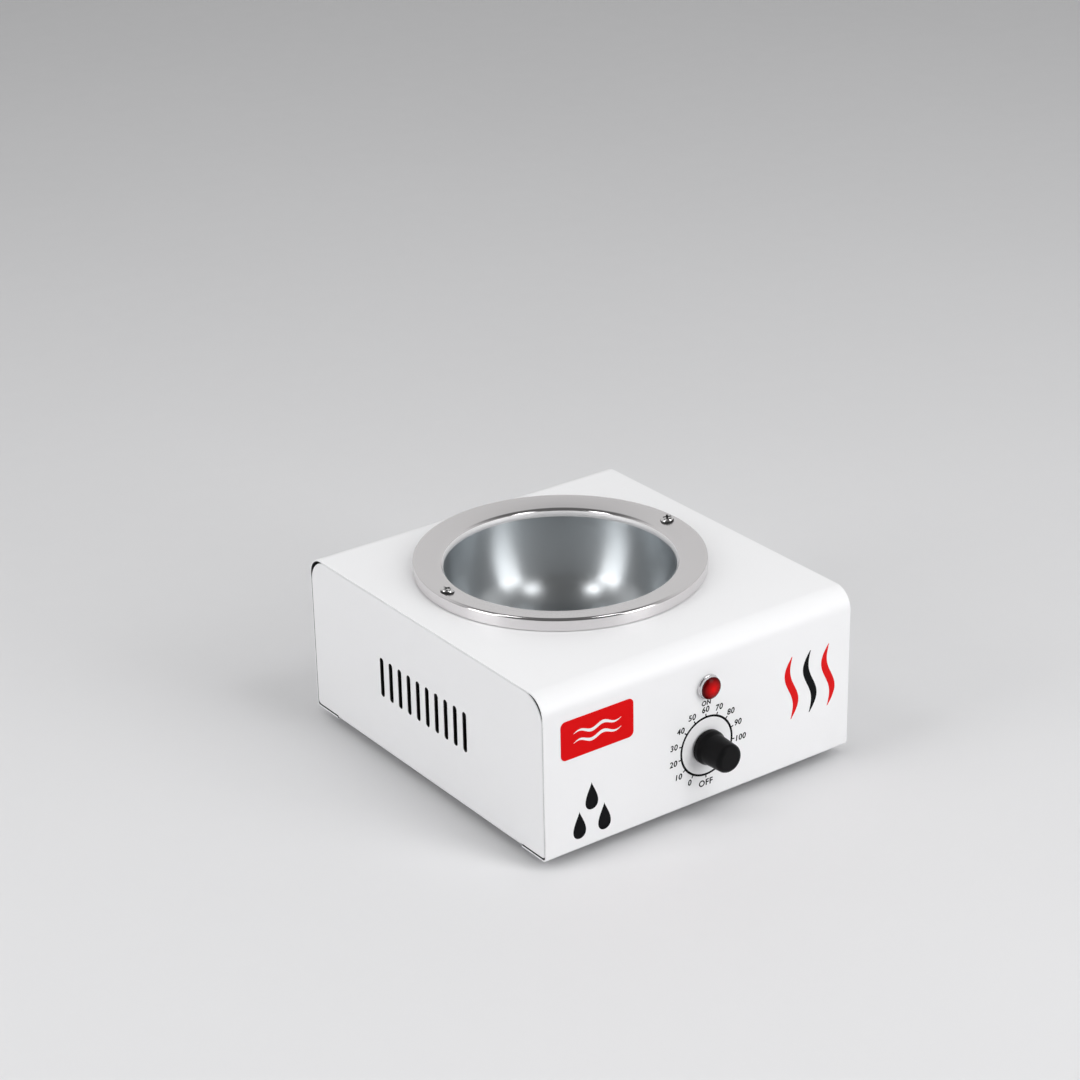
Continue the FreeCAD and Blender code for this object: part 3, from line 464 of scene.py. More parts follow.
def turned(outline, centre, axis, steps=turning_steps):
    """Solid of revolution: outline points are (radius, distance along the axis)."""
    side = Vector((1, 0, 0))
    other = axis.cross(side)
    solid = bmesh.new()
    rings = []
    for radius, along in outline:
        middle = centre + axis * along
        if radius == 0:
            rings.append([solid.verts.new(middle)] * steps)
            continue
        ring = []
        for i in range(steps):
            turn = 2 * math.pi * i / steps
            ring.append(solid.verts.new(middle + (side * math.cos(turn) + other * math.sin(turn)) * radius))
        rings.append(ring)
    for near, far in zip(rings, rings[1:] + rings[:1]):
        for i in range(steps):
            corners = list(dict.fromkeys((near[i - 1], near[i], far[i], far[i - 1])))
            if len(corners) > 2:
                solid.faces.new(corners)
    bmesh.ops.recalc_face_normals(solid, faces=solid.faces)
    return solid


def moulded(material, fleck, depth):
    """Fine texture that a moulding takes from its tool, with a little wear."""
    vary(material, "Roughness", grain(material, fleck / 4, 4), 0.36, 0.52)
    relief(material, grain(material, fleck, 2), depth)


black_nylon = finish("black_nylon", (0.018, 0.018, 0.020), 0.45, specular=0.3)
tint(black_nylon, grain(black_nylon, 60, 3), (0.015, 0.015, 0.017), (0.024, 0.024, 0.026))
moulded(black_nylon, 2200, 0.00002)
gland_grip_start = gland_reach - gland_grip_length
gland_corners = [
    (gland_throat_radius, -gland_back), (gland_thread_radius, -gland_back), (gland_thread_radius, 0),
    (gland_flange_radius, 0), (gland_flange_radius, gland_flange_height),
    (gland_nose_radius, gland_flange_height), (gland_nose_radius, gland_reach),
    (gland_bore_radius, gland_reach), (gland_bore_radius, gland_grip_start),
    (gland_throat_radius, gland_grip_start),
]
gland_rounds = [0, 0, 0, 0, gland_round, 0, gland_round, gland_mouth_round, 0, 0]
flutes = []
for i in range(flute_count):
    turn = 2 * math.pi * i / flute_count
    flute_middle = gland_centre + Vector((math.cos(turn), 0, math.sin(turn))) * flute_middle_radius
    flutes.append(round_bar(flute_radius, flute_middle, OUT_REAR, gland_flange_height + flute_radius,
                            gland_reach + overrun, flute_steps))
gland = turned(rounded_outline(gland_corners, gland_rounds), gland_centre, OUT_REAR)
piece("cord_gland_moulding", worked(gland, flutes), black_nylon, ["cord_gland"])


def dress(material, *nodes):
    """Gives carried-over pieces of the frame their finish."""
    for node in nodes:
        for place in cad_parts[node].material_slots:
            place.material = material


dress(black_nylon, "gland_nut")


# Pilot lamp: a plated brass bezel with a low dome of clear red plastic pressed into it. Its red is
# painted bright at the crown and near black towards the rim as highlight and shade, with a painted
# dark shade line round the rim. The barrel goes through the front panel, holds a small neon bulb and
# is drawn tight by a nut from behind.
bezel_low, bezel_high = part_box("lamp_bezel")
lens_low, lens_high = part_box("lamp_lens")
bezel_radius = (bezel_high[0] - bezel_low[0]) / 2
bezel_height = front_y - bezel_low[1]
bezel_foot_height = 0.0014
bezel_step_radius = 0.0071
bezel_round = 0.0006
lens_radius = (lens_high[0] - lens_low[0]) / 2
lens_reach = 0.0058
lens_seat = front_y - lens_high[1]
lens_dome_radius = 0.0071
lens_dome_steps = 14
lens_wall = 0.0014
lens_fit = 0.0001
lens_highlight_radius = lens_dome_radius * 0.1
lens_shade_radius = lens_dome_radius * 0.9
lens_shade_line_radius = lens_dome_radius * 0.96
lens_highlight_red = (0.78, 0.003, 0.003)
lens_shade_red = (0.09, 0.0005, 0.001)
bezel_bore = lens_radius + lens_fit
bright_plate = finish("bright_plate", (0.74, 0.73, 0.74), 0.2, 1.0)
vary(bright_plate, "Roughness", grain(bright_plate, 300, 2), 0.18, 0.26)
relief(bright_plate, grain(bright_plate, 200, 1), 0.000004)
bezel_corners = [(bezel_bore, 0), (bezel_radius, 0), (bezel_radius, bezel_foot_height),
                 (bezel_step_radius, bezel_foot_height), (bezel_step_radius, bezel_height),
                 (bezel_bore, bezel_height)]
bezel_rounds = [0, 0, bezel_round, 0, bezel_round / 2, bezel_round / 4]
piece("lamp_bezel_ring", turned(rounded_outline(bezel_corners, bezel_rounds), lamp_centre, OUT_FRONT),
      bright_plate, ["lamp_bezel"])

red_lens = finish("red_lens", (0.55, 0.001, 0.001), 0.06, specular=0.05)
shader_of(red_lens).inputs["Transmission Weight"].default_value = 0.12
shader_of(red_lens).inputs["IOR"].default_value = 1.49
lens_nodes = red_lens.node_tree.nodes
# Painted highlight and shade: the red is bright near the crown and near black towards the rim, by distance
# from the crown.
lens_crown_distance = lens_nodes.new("ShaderNodeVectorMath")
lens_crown_distance.operation = "DISTANCE"
lens_crown_distance.inputs[1].default_value = lamp_centre + OUT_FRONT * lens_reach
link(red_lens, lens_nodes.new("ShaderNodeTexCoord").outputs["Object"], lens_crown_distance.inputs[0])
lens_shade = lens_nodes.new("ShaderNodeMapRange")
lens_shade.inputs["From Min"].default_value = lens_highlight_radius
lens_shade.inputs["From Max"].default_value = lens_shade_radius
link(red_lens, lens_crown_distance.outputs["Value"], lens_shade.inputs["Value"])
tint(red_lens, lens_shade.outputs["Result"], lens_highlight_red, lens_shade_red)
vary(red_lens, "Roughness", grain(red_lens, 500, 3), 0.04, 0.12)
relief(red_lens, grain(red_lens, 300, 1), 0.00002)
lens_cavity = lens_radius - lens_wall
lens_base = bezel_height + lens_fit
lens_rise = lens_reach - lens_base
lens_outline = [(lens_cavity, lens_seat), (lens_radius, lens_seat), (lens_radius, lens_base)]
for step in range(lens_dome_steps + 1):
    turn = math.pi / 2 * step / lens_dome_steps
    lens_outline.append((lens_dome_radius * math.cos(turn), lens_base + lens_rise * math.sin(turn)))
lens_outline[-1] = (0, lens_reach)
lens_outline += [(0, lens_base), (lens_cavity, lens_base)]
# Painted shade: a near-black line round the dome's rim.
lens_rim_shade = finish("lens_rim_shade", (0.07, 0.0005, 0.001), 0.2)
vary(lens_rim_shade, "Roughness", grain(lens_rim_shade, 500, 3), 0.15, 0.3)
relief(lens_rim_shade, grain(lens_rim_shade, 300, 1), 0.00001)
lens = turned(lens_outline, lamp_centre, OUT_FRONT)
# Faces at the dome's rim take the painted dark shade line.
for face in lens.faces:
    if (face.calc_center_median() - lamp_centre).xz.length > lens_shade_line_radius:
        face.material_index = 1
piece("lamp_lens_dome", lens, red_lens, ["lamp_lens"], others=[lens_rim_shade])

neon_glass = finish("neon_glass", (0.90, 0.75, 0.60), 0.05)
shader_of(neon_glass).inputs["Transmission Weight"].default_value = 0.7
relief(neon_glass, grain(neon_glass, 500, 1), 0.00002)
dress(neon_glass, "neon_bulb")
dress(black_nylon, "lamp_holder")


# Thermostat: a drawn aluminium case with a threaded bush through the front panel, a plated nut and
# shaft, two blades for the wires and a copper bulb on a fine tube that feels the bowl's heat.
case_metal = finish("case_aluminium", (0.62, 0.62, 0.61), 0.35, 1.0)
vary(case_metal, "Roughness", grain(case_metal, 90, 4), 0.28, 0.45)
relief(case_metal, grain(case_metal, 500, 2), 0.00002)
dress(case_metal, "thermostat_body")
zinc_plate = finish("zinc_plate", (0.60, 0.61, 0.62), 0.36, 1.0)
tint(zinc_plate, grain(zinc_plate, 45, 4), (0.54, 0.55, 0.57), (0.66, 0.67, 0.67))
vary(zinc_plate, "Roughness", grain(zinc_plate, 160, 4), 0.28, 0.46)
relief(zinc_plate, grain(zinc_plate, 700, 3), 0.00002)
dress(zinc_plate, "thermostat_nut", "thermostat_shaft", "lamp_nut", "bulb_clip")
blade_brass = finish("blade_brass", (0.70, 0.55, 0.28), 0.3, 1.0)
vary(blade_brass, "Roughness", grain(blade_brass, 300, 4), 0.24, 0.42)
dress(blade_brass, "thermostat_tabs", "lamp_tabs")
drawn_copper = finish("drawn_copper", (0.72, 0.40, 0.25), 0.3, 1.0)
tint(drawn_copper, grain(drawn_copper, 80, 4), (0.60, 0.30, 0.18), (0.76, 0.45, 0.30))
vary(drawn_copper, "Roughness", grain(drawn_copper, 300, 3), 0.24, 0.45)
dress(drawn_copper, "sensor_bulb", "capillary_tube")


# Bowl: drawn from one aluminium disc with a flat floor, a wide round corner, a wall that curves in
# slowly and a flange that lies on a fibre gasket. Its inside keeps a cool sheen, drawn out downwards.
bowl_wall = 0.0012
bowl_bottom = bowl_low[2]
bowl_floor = bowl_bottom + bowl_wall
flange_top = bowl_high[2]
flange_radius = (bowl_high[0] - bowl_low[0]) / 2
bowl_mouth_radius = 0.0732
bowl_wall_lean = (math.radians(2), math.radians(24))
bowl_wall_curve = 0.092
bowl_mouth_bend = 0.003
bowl_wall_steps = 24
bowl_corner_steps = 36
bowl_mouth_steps = 8
bowl_steps = 192


def round_grain(material, across, along, centre):
    """Noise drawn out in circles round a vertical axis, as spinning or polishing leaves it."""
    nodes = material.node_tree.nodes
    move = nodes.new("ShaderNodeVectorMath")
    move.operation = "SUBTRACT"
    move.inputs[1].default_value = (centre.x, centre.y, 0)
    link(material, nodes.new("ShaderNodeTexCoord").outputs["Object"], move.inputs[0])
    split = nodes.new("ShaderNodeSeparateXYZ")
    link(material, move.outputs["Vector"], split.inputs["Vector"])
    flat = nodes.new("ShaderNodeCombineXYZ")
    link(material, split.outputs["X"], flat.inputs["X"])
    link(material, split.outputs["Y"], flat.inputs["Y"])
    reach = nodes.new("ShaderNodeVectorMath")
    reach.operation = "LENGTH"
    link(material, flat.outputs["Vector"], reach.inputs[0])
    level = nodes.new("ShaderNodeMath")
    level.operation = "ADD"
    link(material, reach.outputs["Value"], level.inputs[0])
    link(material, split.outputs["Z"], level.inputs[1])
    stretched = nodes.new("ShaderNodeCombineXYZ")
    for source, axis, scale in ((split.outputs["X"], "X", along), (split.outputs["Y"], "Y", along),
                                (level.outputs["Value"], "Z", across)):
        times = nodes.new("ShaderNodeMath")
        times.operation = "MULTIPLY"
        times.inputs[1].default_value = scale
        link(material, source, times.inputs[0])
        link(material, times.outputs["Value"], stretched.inputs[axis])
    return grain(material, 1.0, 3, stretched.outputs["Vector"])


bowl_metal = finish("bowl_aluminium", (0.67, 0.70, 0.72), 0.3, 1.0)
tint(bowl_metal, grain(bowl_metal, 16, 3), (0.64, 0.67, 0.69), (0.70, 0.73, 0.75))
vary(bowl_metal, "Roughness", grain(bowl_metal, 30, 4), 0.285, 0.32)
relief(bowl_metal, round_grain(bowl_metal, 1600, 20, bowl_axis), 0.000004)
drawn_lines = bowl_metal.node_tree.nodes.new("ShaderNodeTangent")
drawn_lines.direction_type = "RADIAL"
drawn_lines.axis = "Z"
bowl_shader = shader_of(bowl_metal)
link(bowl_metal, drawn_lines.outputs["Tangent"], bowl_shader.inputs["Tangent"])
bowl_shader.inputs["Anisotropic"].default_value = 0.8
bowl_shader.inputs["Anisotropic Rotation"].default_value = 0.25


def bowl_curve(offset):
    """Points down the bowl's inside, or its outside by an offset, as (radius, height)."""
    start, end = bowl_wall_lean
    points = []
    for i in range(bowl_wall_steps + 1):
        lean = start + (end - start) * i / bowl_wall_steps
        radius = bowl_mouth_radius - bowl_wall_curve * (math.cos(start) - math.cos(lean))
        height = flange_top - bowl_mouth_bend - bowl_wall_curve * (math.sin(lean) - math.sin(start))
        points.append(Vector((radius, height)))
        points[-1] += Vector((math.cos(lean), -math.sin(lean))) * offset
    drop = points[-1].y + math.sin(end) * offset - bowl_floor
    corner = drop / (1 - math.sin(end))
    middle = points[-1] - Vector((math.cos(end), -math.sin(end))) * (corner + offset)
    for i in range(1, bowl_corner_steps + 1):
        lean = end + (math.pi / 2 - end) * i / bowl_corner_steps
        points.append(middle + Vector((math.cos(lean), -math.sin(lean))) * (corner + offset))
    return points


bowl_rim = [(flange_radius, flange_top - bowl_wall), (flange_radius, flange_top)]
mouth_turns = [math.pi / 2 * i / bowl_mouth_steps for i in range(bowl_mouth_steps, 0, -1)]
mouth_inside = [(bowl_mouth_radius + bowl_mouth_bend * (1 - math.cos(turn)),
                 flange_top - bowl_mouth_bend * (1 - math.sin(turn))) for turn in mouth_turns]
mouth_outside = [(bowl_mouth_radius + bowl_mouth_bend, flange_top - bowl_wall)]
bowl_outline = [(0, bowl_bottom)] + [tuple(p) for p in bowl_curve(bowl_wall)[::-1]]
bowl_outline += mouth_outside + bowl_rim + mouth_inside
bowl_outline += [tuple(p) for p in bowl_curve(0)] + [(0, bowl_floor)]
bowl_foot = Vector((bowl_axis.x, bowl_axis.y, 0))
piece("drawn_bowl", turned(bowl_outline, bowl_foot, UP, bowl_steps), bowl_metal, ["bowl"])

fibre = finish("needled_fibre", (0.80, 0.79, 0.74), 0.9)
tint(fibre, grain(fibre, 120, 5), (0.66, 0.65, 0.60), (0.84, 0.83, 0.79))
relief(fibre, grain(fibre, 900, 5), 0.0003)
dress(fibre, "bowl_gasket", "insulation_pad", "insulation_wrap")


# Trim ring: pressed from satin stainless sheet, with a straight skirt, a rounded shoulder, a top
# that dishes towards the bowl and a lip rolled into its mouth. The die burnishes both bends, the
# lip's edge is linished dull and coloured paler as a painted highlight band, and two screws hold
# ring and bowl down.
ring_low, ring_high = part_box("trim_ring")
ring_radius = (ring_high[0] - ring_low[0]) / 2
ring_seat = ring_low[2]
ring_height = 0.0088
ring_sheet = 0.0008
ring_shoulder = 0.0018
ring_dish = math.tan(math.radians(10))
ring_roll = 0.004
ring_lip_radius = 0.072
linished_sheen_radius = ring_lip_radius + ring_roll * 0.26
ring_tuck = 0.0004
ring_steps = 240
ring_seam = 0.0004
ring_cut_round = 0.0002
ring_bend_steps = 16
ring_foot = Vector((bowl_axis.x, bowl_axis.y, ring_seat))


def ring_top(radius):
    """Height of the ring's dished top above the shell at a radius."""
    return ring_height - (ring_radius - radius) * ring_dish


ring_metal = finish("satin_stainless", (0.78, 0.76, 0.765), 0.32, 1.0)
tint(ring_metal, grain(ring_metal, 20, 3), (0.75, 0.73, 0.735), (0.81, 0.79, 0.795))
vary(ring_metal, "Roughness", round_grain(ring_metal, 2600, 14, bowl_axis), 0.18, 0.27)
relief(ring_metal, grain(ring_metal, 30, 1), 0.00003)
relief(ring_metal, round_grain(ring_metal, 2600, 14, bowl_axis), 0.000005)
ring_skirt = ring_radius - ring_sheet
ring_under = ring_lip_radius + ring_sheet
ring_lip_end = ring_top(ring_lip_radius) - ring_roll - ring_tuck
ring_corners = [(ring_radius, ring_seam), (ring_radius, ring_height),
                (ring_lip_radius, ring_top(ring_lip_radius)),
                (ring_lip_radius, ring_lip_end), (ring_under, ring_lip_end),
                (ring_under, ring_top(ring_under) - ring_sheet),
                (ring_skirt, ring_top(ring_skirt) - ring_sheet), (ring_skirt, ring_seam)]
ring_rounds = [ring_cut_round, ring_shoulder, ring_roll, ring_sheet / 3, ring_sheet / 3,
               ring_roll - ring_sheet, ring_shoulder - ring_sheet, ring_cut_round]
ring_outline = rounded_outline(ring_corners, ring_rounds, ring_bend_steps)
pressed_ring = turned(ring_outline, ring_foot, UP, ring_steps)
# The lip's edge takes the dull linished finish with its paler painted highlight colour.
for face in pressed_ring.faces:
    middle = face.calc_center_median() - ring_foot
    reach = middle.xy.length
    on_shoulder = reach > ring_radius - ring_shoulder and middle.z > ring_height - ring_shoulder
    if reach < linished_sheen_radius:
        face.material_index = 1
    elif on_shoulder or reach < ring_lip_radius + ring_roll:
        face.material_index = 2
burnished_metal = finish("burnished_bend", (0.78, 0.76, 0.765), 0.09, 1.0)
vary(burnished_metal, "Roughness", round_grain(burnished_metal, 900, 14, bowl_axis), 0.08, 0.14)
# Dull linished finish, paler than the ring, as a painted highlight band on the lip.
lip_dull_and_painted_sheen = finish("linished_lip_painted_sheen", (0.88, 0.87, 0.88), 0.5, 0.6)
vary(lip_dull_and_painted_sheen, "Roughness", round_grain(lip_dull_and_painted_sheen, 2600, 14, bowl_axis), 0.50, 0.64)
relief(lip_dull_and_painted_sheen, round_grain(lip_dull_and_painted_sheen, 2600, 14, bowl_axis), 0.000008)
piece("pressed_trim_ring", pressed_ring, ring_metal, ["trim_ring"],
      others=[lip_dull_and_painted_sheen, burnished_metal])


# Ring screws: two bright-plated pan heads with a cross recess, driven through the ring, the bowl's
# flange and the shell into nuts underneath.
screw_radius = 0.0020
screw_head_radius = 0.0042
screw_head_height = 0.0024
screw_head_round = 0.85
recess_span = 0.0066
recess_width = 0.0016
recess_depth = 0.0016
recess_mouth_share = 1.15
recess_point_share = 0.55
recess_zone = 0.85
head_edge_zone = 0.9
head_edge_height = 0.4
screw_round_steps = 10
screw_steps = 64
ring_screw_inset = 0.0072
ring_screw_radius = ring_radius - ring_screw_inset
ring_screw_turns = ((-1, 20), (1, 55))
screws_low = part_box("ring_screws")[0]


def cross_tool(span, width, top, depth):
    """Tapered cross that a screw's recess is struck with."""
    tool = bmesh.new()
    loops = []
    for level, share in ((top + overrun, recess_mouth_share), (top - depth, recess_point_share)):
        arm = span / 2 * share
        half = width / 2 * share
        quarter = [Vector((arm, -half)), Vector((arm, half)), Vector((half, half))]
        loop = []
        for turn in range(4):
            turned_by = Matrix.Rotation(turn * math.pi / 2, 2)
            loop += [turned_by @ point for point in quarter]
        loops.append([tool.verts.new((p.x, p.y, level)) for p in loop])
    for i in range(len(loops[0])):
        tool.faces.new((loops[0][i - 1], loops[0][i], loops[1][i], loops[1][i - 1]))
    tool.faces.new(loops[0])
    tool.faces.new(loops[1])
    bmesh.ops.recalc_face_normals(tool, faces=tool.faces)
    return tool


def cross_screw(radius, length, head_radius, head_height, recess):
    """Pan-head screw with its seat at the origin and its head up."""
    corners = [(0, -length), (radius, -length), (radius, 0), (head_radius, 0), (head_radius, head_height),
               (0, head_height)]
    rounds = [0, radius / 4, 0, head_height / 12, head_height * screw_head_round, 0]
    head = turned(rounded_outline(corners, rounds, screw_round_steps), Vector((0, 0, 0)), UP, screw_steps)
    span, width, depth = recess
    screw = worked(head, [cross_tool(span, width, head_height, depth)])
    crown = head_height * screw_head_round
    # Faces in the recess and round the head's lower edge take the near-black painted shade.
    for face in screw.faces:
        middle = face.calc_center_median()
        beyond = max(0, middle.xy.length - head_radius + crown)
        crown_height = head_height - crown + math.sqrt(max(0, crown ** 2 - beyond ** 2))
        below_crown = middle.z < crown_height - head_height / 20
        in_recess = middle.xy.length < head_radius * recess_zone and below_crown
        at_edge = middle.xy.length > head_radius * head_edge_zone
        under_edge = at_edge and middle.z < head_height * head_edge_height
        if middle.z > 0 and (in_recess or under_edge):
            face.material_index = 1
    return screw


def set_in(screw, places):
    """Copies of a screw, each moved and turned to its place."""
    copies = []
    for place in places:
        copy = screw.copy()
        bmesh.ops.transform(copy, matrix=place, verts=copy.verts)
        copies.append(copy)
    screw.free()
    return joined(copies)


screw_metal = finish("bright_screw", (0.76, 0.75, 0.75), 0.2, 1.0)
vary(screw_metal, "Roughness", grain(screw_metal, 900, 4), 0.12, 0.24)
relief(screw_metal, grain(screw_metal, 1200, 2), 0.000008)
# Painted shade: a near-black finish for the cross recess and the lower edge of each head.
painted_recess_shade = finish("painted_recess_shade", (0.03, 0.03, 0.032), 0.6)
tint(painted_recess_shade, grain(painted_recess_shade, 900, 4), (0.01, 0.01, 0.01), (0.03, 0.03, 0.03))
relief(painted_recess_shade, grain(painted_recess_shade, 1200, 3), 0.00005)
ring_screw_seat = ring_seat + ring_top(ring_screw_radius)
ring_screw_length = ring_screw_seat - screws_low[2]
ring_screw_places = []
for side, turn in ring_screw_turns:
    seat = Vector((bowl_axis.x + side * ring_screw_radius, bowl_axis.y, ring_screw_seat))
    bedded = Matrix.Identity(4)
    bedded[2][0] = side * ring_dish
    driven = Matrix.Rotation(math.radians(turn), 4, "Z")
    ring_screw_places.append(Matrix.Translation(seat) @ bedded @ driven)
ring_screw = cross_screw(screw_radius, ring_screw_length, screw_head_radius, screw_head_height,
                         (recess_span, recess_width, recess_depth))
piece("ring_screw_pair", set_in(ring_screw, ring_screw_places), screw_metal,
      ["ring_screws"], others=[painted_recess_shade])
dress(zinc_plate, "ring_nuts")


# Heater: a slotted resistance plate between two mica discs, pressed up under the bowl by a steel
# disc on a welded stud. A can of thin sheet hangs from the same stud and holds the insulation.
mica = finish("split_mica", (0.55, 0.48, 0.36), 0.35)
tint(mica, grain(mica, 200, 5), (0.46, 0.39, 0.28), (0.62, 0.56, 0.45))
relief(mica, grain(mica, 300, 3), 0.00005)
dress(mica, "mica_upper", "mica_lower")
element_metal = finish("element_metal", (0.46, 0.43, 0.40), 0.4, 1.0)
tint(element_metal, grain(element_metal, 70, 4), (0.38, 0.33, 0.30), (0.54, 0.52, 0.50))
vary(element_metal, "Roughness", grain(element_metal, 200, 4), 0.3, 0.5)
dress(element_metal, "heating_element")
dress(zinc_plate, "clamp_plate", "clamp_stud", "clamp_nuts", "shield_spacer")
# Painted shade: the heat shield is coloured near black so that it reads as shade through the slots.
painted_shade_shield = finish("painted_shade_shield", (0.022, 0.022, 0.024), 0.5)
tint(painted_shade_shield, grain(painted_shade_shield, 40, 4), (0.016, 0.016, 0.018), (0.030, 0.030, 0.032))
vary(painted_shade_shield, "Roughness", grain(painted_shade_shield, 160, 4), 0.42, 0.6)
relief(painted_shade_shield, grain(painted_shade_shield, 700, 3), 0.00002)
dress(painted_shade_shield, "heat_shield")


# Wiring: a moulded terminal block with brass-coloured screws, an earth stud on the base, and
# sleeved wires to the thermostat, the heater and the lamp.
block_plastic = finish("terminal_plastic", (0.70, 0.68, 0.60), 0.5)
moulded(block_plastic, 1500, 0.00003)
dress(block_plastic, "terminal_block")
dress(zinc_plate, "terminal_screws", "earth_stud", "earth_nut")
wire_colours = {
    "live_wire": (0.16, 0.07, 0.03), "neutral_wire": (0.05, 0.16, 0.45),
    "switched_wire": (0.25, 0.25, 0.25), "earth_wire": (0.15, 0.40, 0.10),
    "lamp_wires": (0.75, 0.75, 0.72),
}
for wire, colour in wire_colours.items():
    sleeve = finish("sleeve_of_" + wire, colour, 0.45)
    moulded(sleeve, 900, 0.00004)
    dress(sleeve, wire)


# Base plate: a zinc-plated sheet with rounded corners and nine vent slots, which closes the box
# from below. Six thread-cutting screws hold it to the shell's returns and the panels' flanges.
plate_low, plate_high = (Vector(corner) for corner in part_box("base_plate"))
plate_corner = 0.008
plate_edge = 0.00025
vent_count = 9
vent_pitch = 0.011
vent_width = 0.004
vent_length = 0.042
plate_corners = [(plate_low.x, plate_low.y), (plate_high.x, plate_low.y), (plate_high.x, plate_high.y),
                 (plate_low.x, plate_high.y)]
plate = slab(rounded_outline(plate_corners, [plate_corner] * 4), lambda p: Vector((p.x, p.y, plate_low.z)),
             UP * (plate_high.z - plate_low.z))
vents = []
for i in range(vent_count):
    vent_x = bowl_axis.x + (i - (vent_count - 1) / 2) * vent_pitch
    vents.append(round_slot(vent_width, vent_length, Vector((vent_x, middle_y, plate_low.z)), OUT_REAR,
                            UP * 2 * overrun))
piece("vented_base", worked(plate, vents), zinc_plate, ["base_plate"], eased=plate_edge)

cutter_radius = 0.00175
cutter_length = 0.0070
cutter_head_radius = 0.0036
cutter_head_height = 0.0023
cutter_side_inset = 0.0080
cutter_corner_inset = 0.030
cutter_recess = (0.0042, 0.0010, 0.0015)
cutter_turn = math.radians(37)
head_down = Matrix.Rotation(math.pi, 4, "X")
base_spots = [Vector((side * (side_x - cutter_side_inset), middle_y, plate_low.z)) for side in (-1, 1)]
for side in (-1, 1):
    for y in (front_y + return_length / 2, rear_y - return_length / 2):
        base_spots.append(Vector((side * (side_x - cutter_corner_inset), y, plate_low.z)))
base_screw = cross_screw(cutter_radius, cutter_length, cutter_head_radius, cutter_head_height, cutter_recess)
base_places = []
for i, spot in enumerate(base_spots):
    base_places.append(Matrix.Translation(spot) @ head_down @ Matrix.Rotation(cutter_turn * i, 4, "Z"))
piece("base_screw_set", set_in(base_screw, base_places), screw_metal, ["base_screws"],
      others=[painted_recess_shade])


# Feet: four tapered black rubber mouldings, each held by a screw that sits deep in its recess and
# by a nut on top of the base plate.
feet_low, feet_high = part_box("feet")
foot_height = plate_low.z
foot_radius = 0.0090
foot_tip_radius = 0.0075
foot_recess_radius = 0.0050
foot_recess_depth = 0.0032
foot_bore = 0.0021
foot_round = 0.0010
foot_screw_turn = math.radians(25)
foot_corners = [(foot_recess_radius, 0), (foot_tip_radius, 0), (foot_radius, foot_height),
                (foot_bore, foot_height), (foot_bore, foot_recess_depth),
                (foot_recess_radius, foot_recess_depth)]
foot_rounds = [foot_round / 3, foot_round, foot_round / 3, 0, 0, 0]
foot_outline = rounded_outline(foot_corners, foot_rounds)
foot_spots = []
for x in (feet_low[0] + foot_radius, feet_high[0] - foot_radius):
    for y in (feet_low[1] + foot_radius, feet_high[1] - foot_radius):
        foot_spots.append(Vector((x, y, 0)))
rubber = finish("foot_rubber", (0.022, 0.022, 0.022), 0.75)
tint(rubber, grain(rubber, 90, 5), (0.016, 0.016, 0.016), (0.034, 0.033, 0.032))
vary(rubber, "Roughness", grain(rubber, 400, 4), 0.65, 0.85)
relief(rubber, grain(rubber, 1500, 3), 0.00005)
rubber_feet = joined([turned(foot_outline, spot, UP) for spot in foot_spots])
piece("rubber_feet", rubber_feet, rubber, ["feet"])
foot_screw_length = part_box("foot_screws")[1][2] - foot_recess_depth
foot_screw = cross_screw(screw_radius, foot_screw_length, screw_head_radius, screw_head_height,
                         (recess_span, recess_width, recess_depth))
foot_places = []
for i, spot in enumerate(foot_spots):
    turn = Matrix.Rotation(foot_screw_turn * i, 4, "Z")
    foot_places.append(Matrix.Translation(spot + UP * foot_recess_depth) @ head_down @ turn)
piece("foot_screw_set", set_in(foot_screw, foot_places), screw_metal, ["foot_screws"],
      others=[painted_recess_shade])
dress(zinc_plate, "foot_nuts")


# Front printing: the dial's ring, ticks and numbers, a word under the lamp, three drops and three
# rising heat waves, screen printed in black and red enamel on the coated front.
ink_depth = 0.00004
ink_root = 0.00002
ink_spread = 0.00016
dial_radius = 0.01913
dial_line = 0.0014
tick_start = 0.0196
tick_end = 0.0214
tick_width = 0.0008
number_height = 0.0037
number_lean = 0.12
number_radius = 0.0243
number_room = 0.0011
off_height = 0.0040
off_angle = 181
off_radius = 0.0247
on_height = 0.0030
on_left = 0.0008
on_drop = 0.0107
letter_spacing = 1.1
letter_steps = 6
same_point = 1e-7
dial_steps = 120
first_angle = 211.3
last_angle = 456.1
dial_numbers = range(0, 101, 10)
black_ink = finish("black_ink", (0.004, 0.004, 0.005), 0.5, specular=0.06)
tint(black_ink, grain(black_ink, 300, 4), (0.003, 0.003, 0.004), (0.007, 0.007, 0.008))
red_ink = finish("red_ink", (0.68, 0.004, 0.005), 0.5, specular=0.12)
tint(red_ink, grain(red_ink, 200, 4), (0.65, 0.003, 0.004), (0.72, 0.005, 0.006))
for ink in (black_ink, red_ink):
    vary(ink, "Roughness", grain(ink, 500, 3), 0.45, 0.6)
    relief(ink, grain(ink, 900, 2), 0.00001)


def on_front(point):
    """A flat point, right and up, on the front panel just under the ink's top."""
    return Vector((point.x, front_y + ink_root, point.y))


def inked(outline, depth=ink_depth):
    """Flat printed shape with the thickness of its ink."""
    return slab(outline, on_front, OUT_FRONT * (depth + ink_root))


def clock(angle, radius):
    """Flat point round the dial at an angle clockwise from the top."""
    turn = math.radians(angle)
    return Vector((dial_centre.x + radius * math.sin(turn), dial_centre.z + radius * math.cos(turn)))


def lettering(word, height, middle, lean=number_lean):
    """Printed word, spread a little all round as ink does on a hard coat."""
    ways = ((0, 0), (1, 0), (-1, 0), (0, 1), (0, -1))
    shifts = [Vector(way) * ink_spread for way in ways]
    return joined([flat_word(word, height, middle + shift, lean) for shift in shifts])


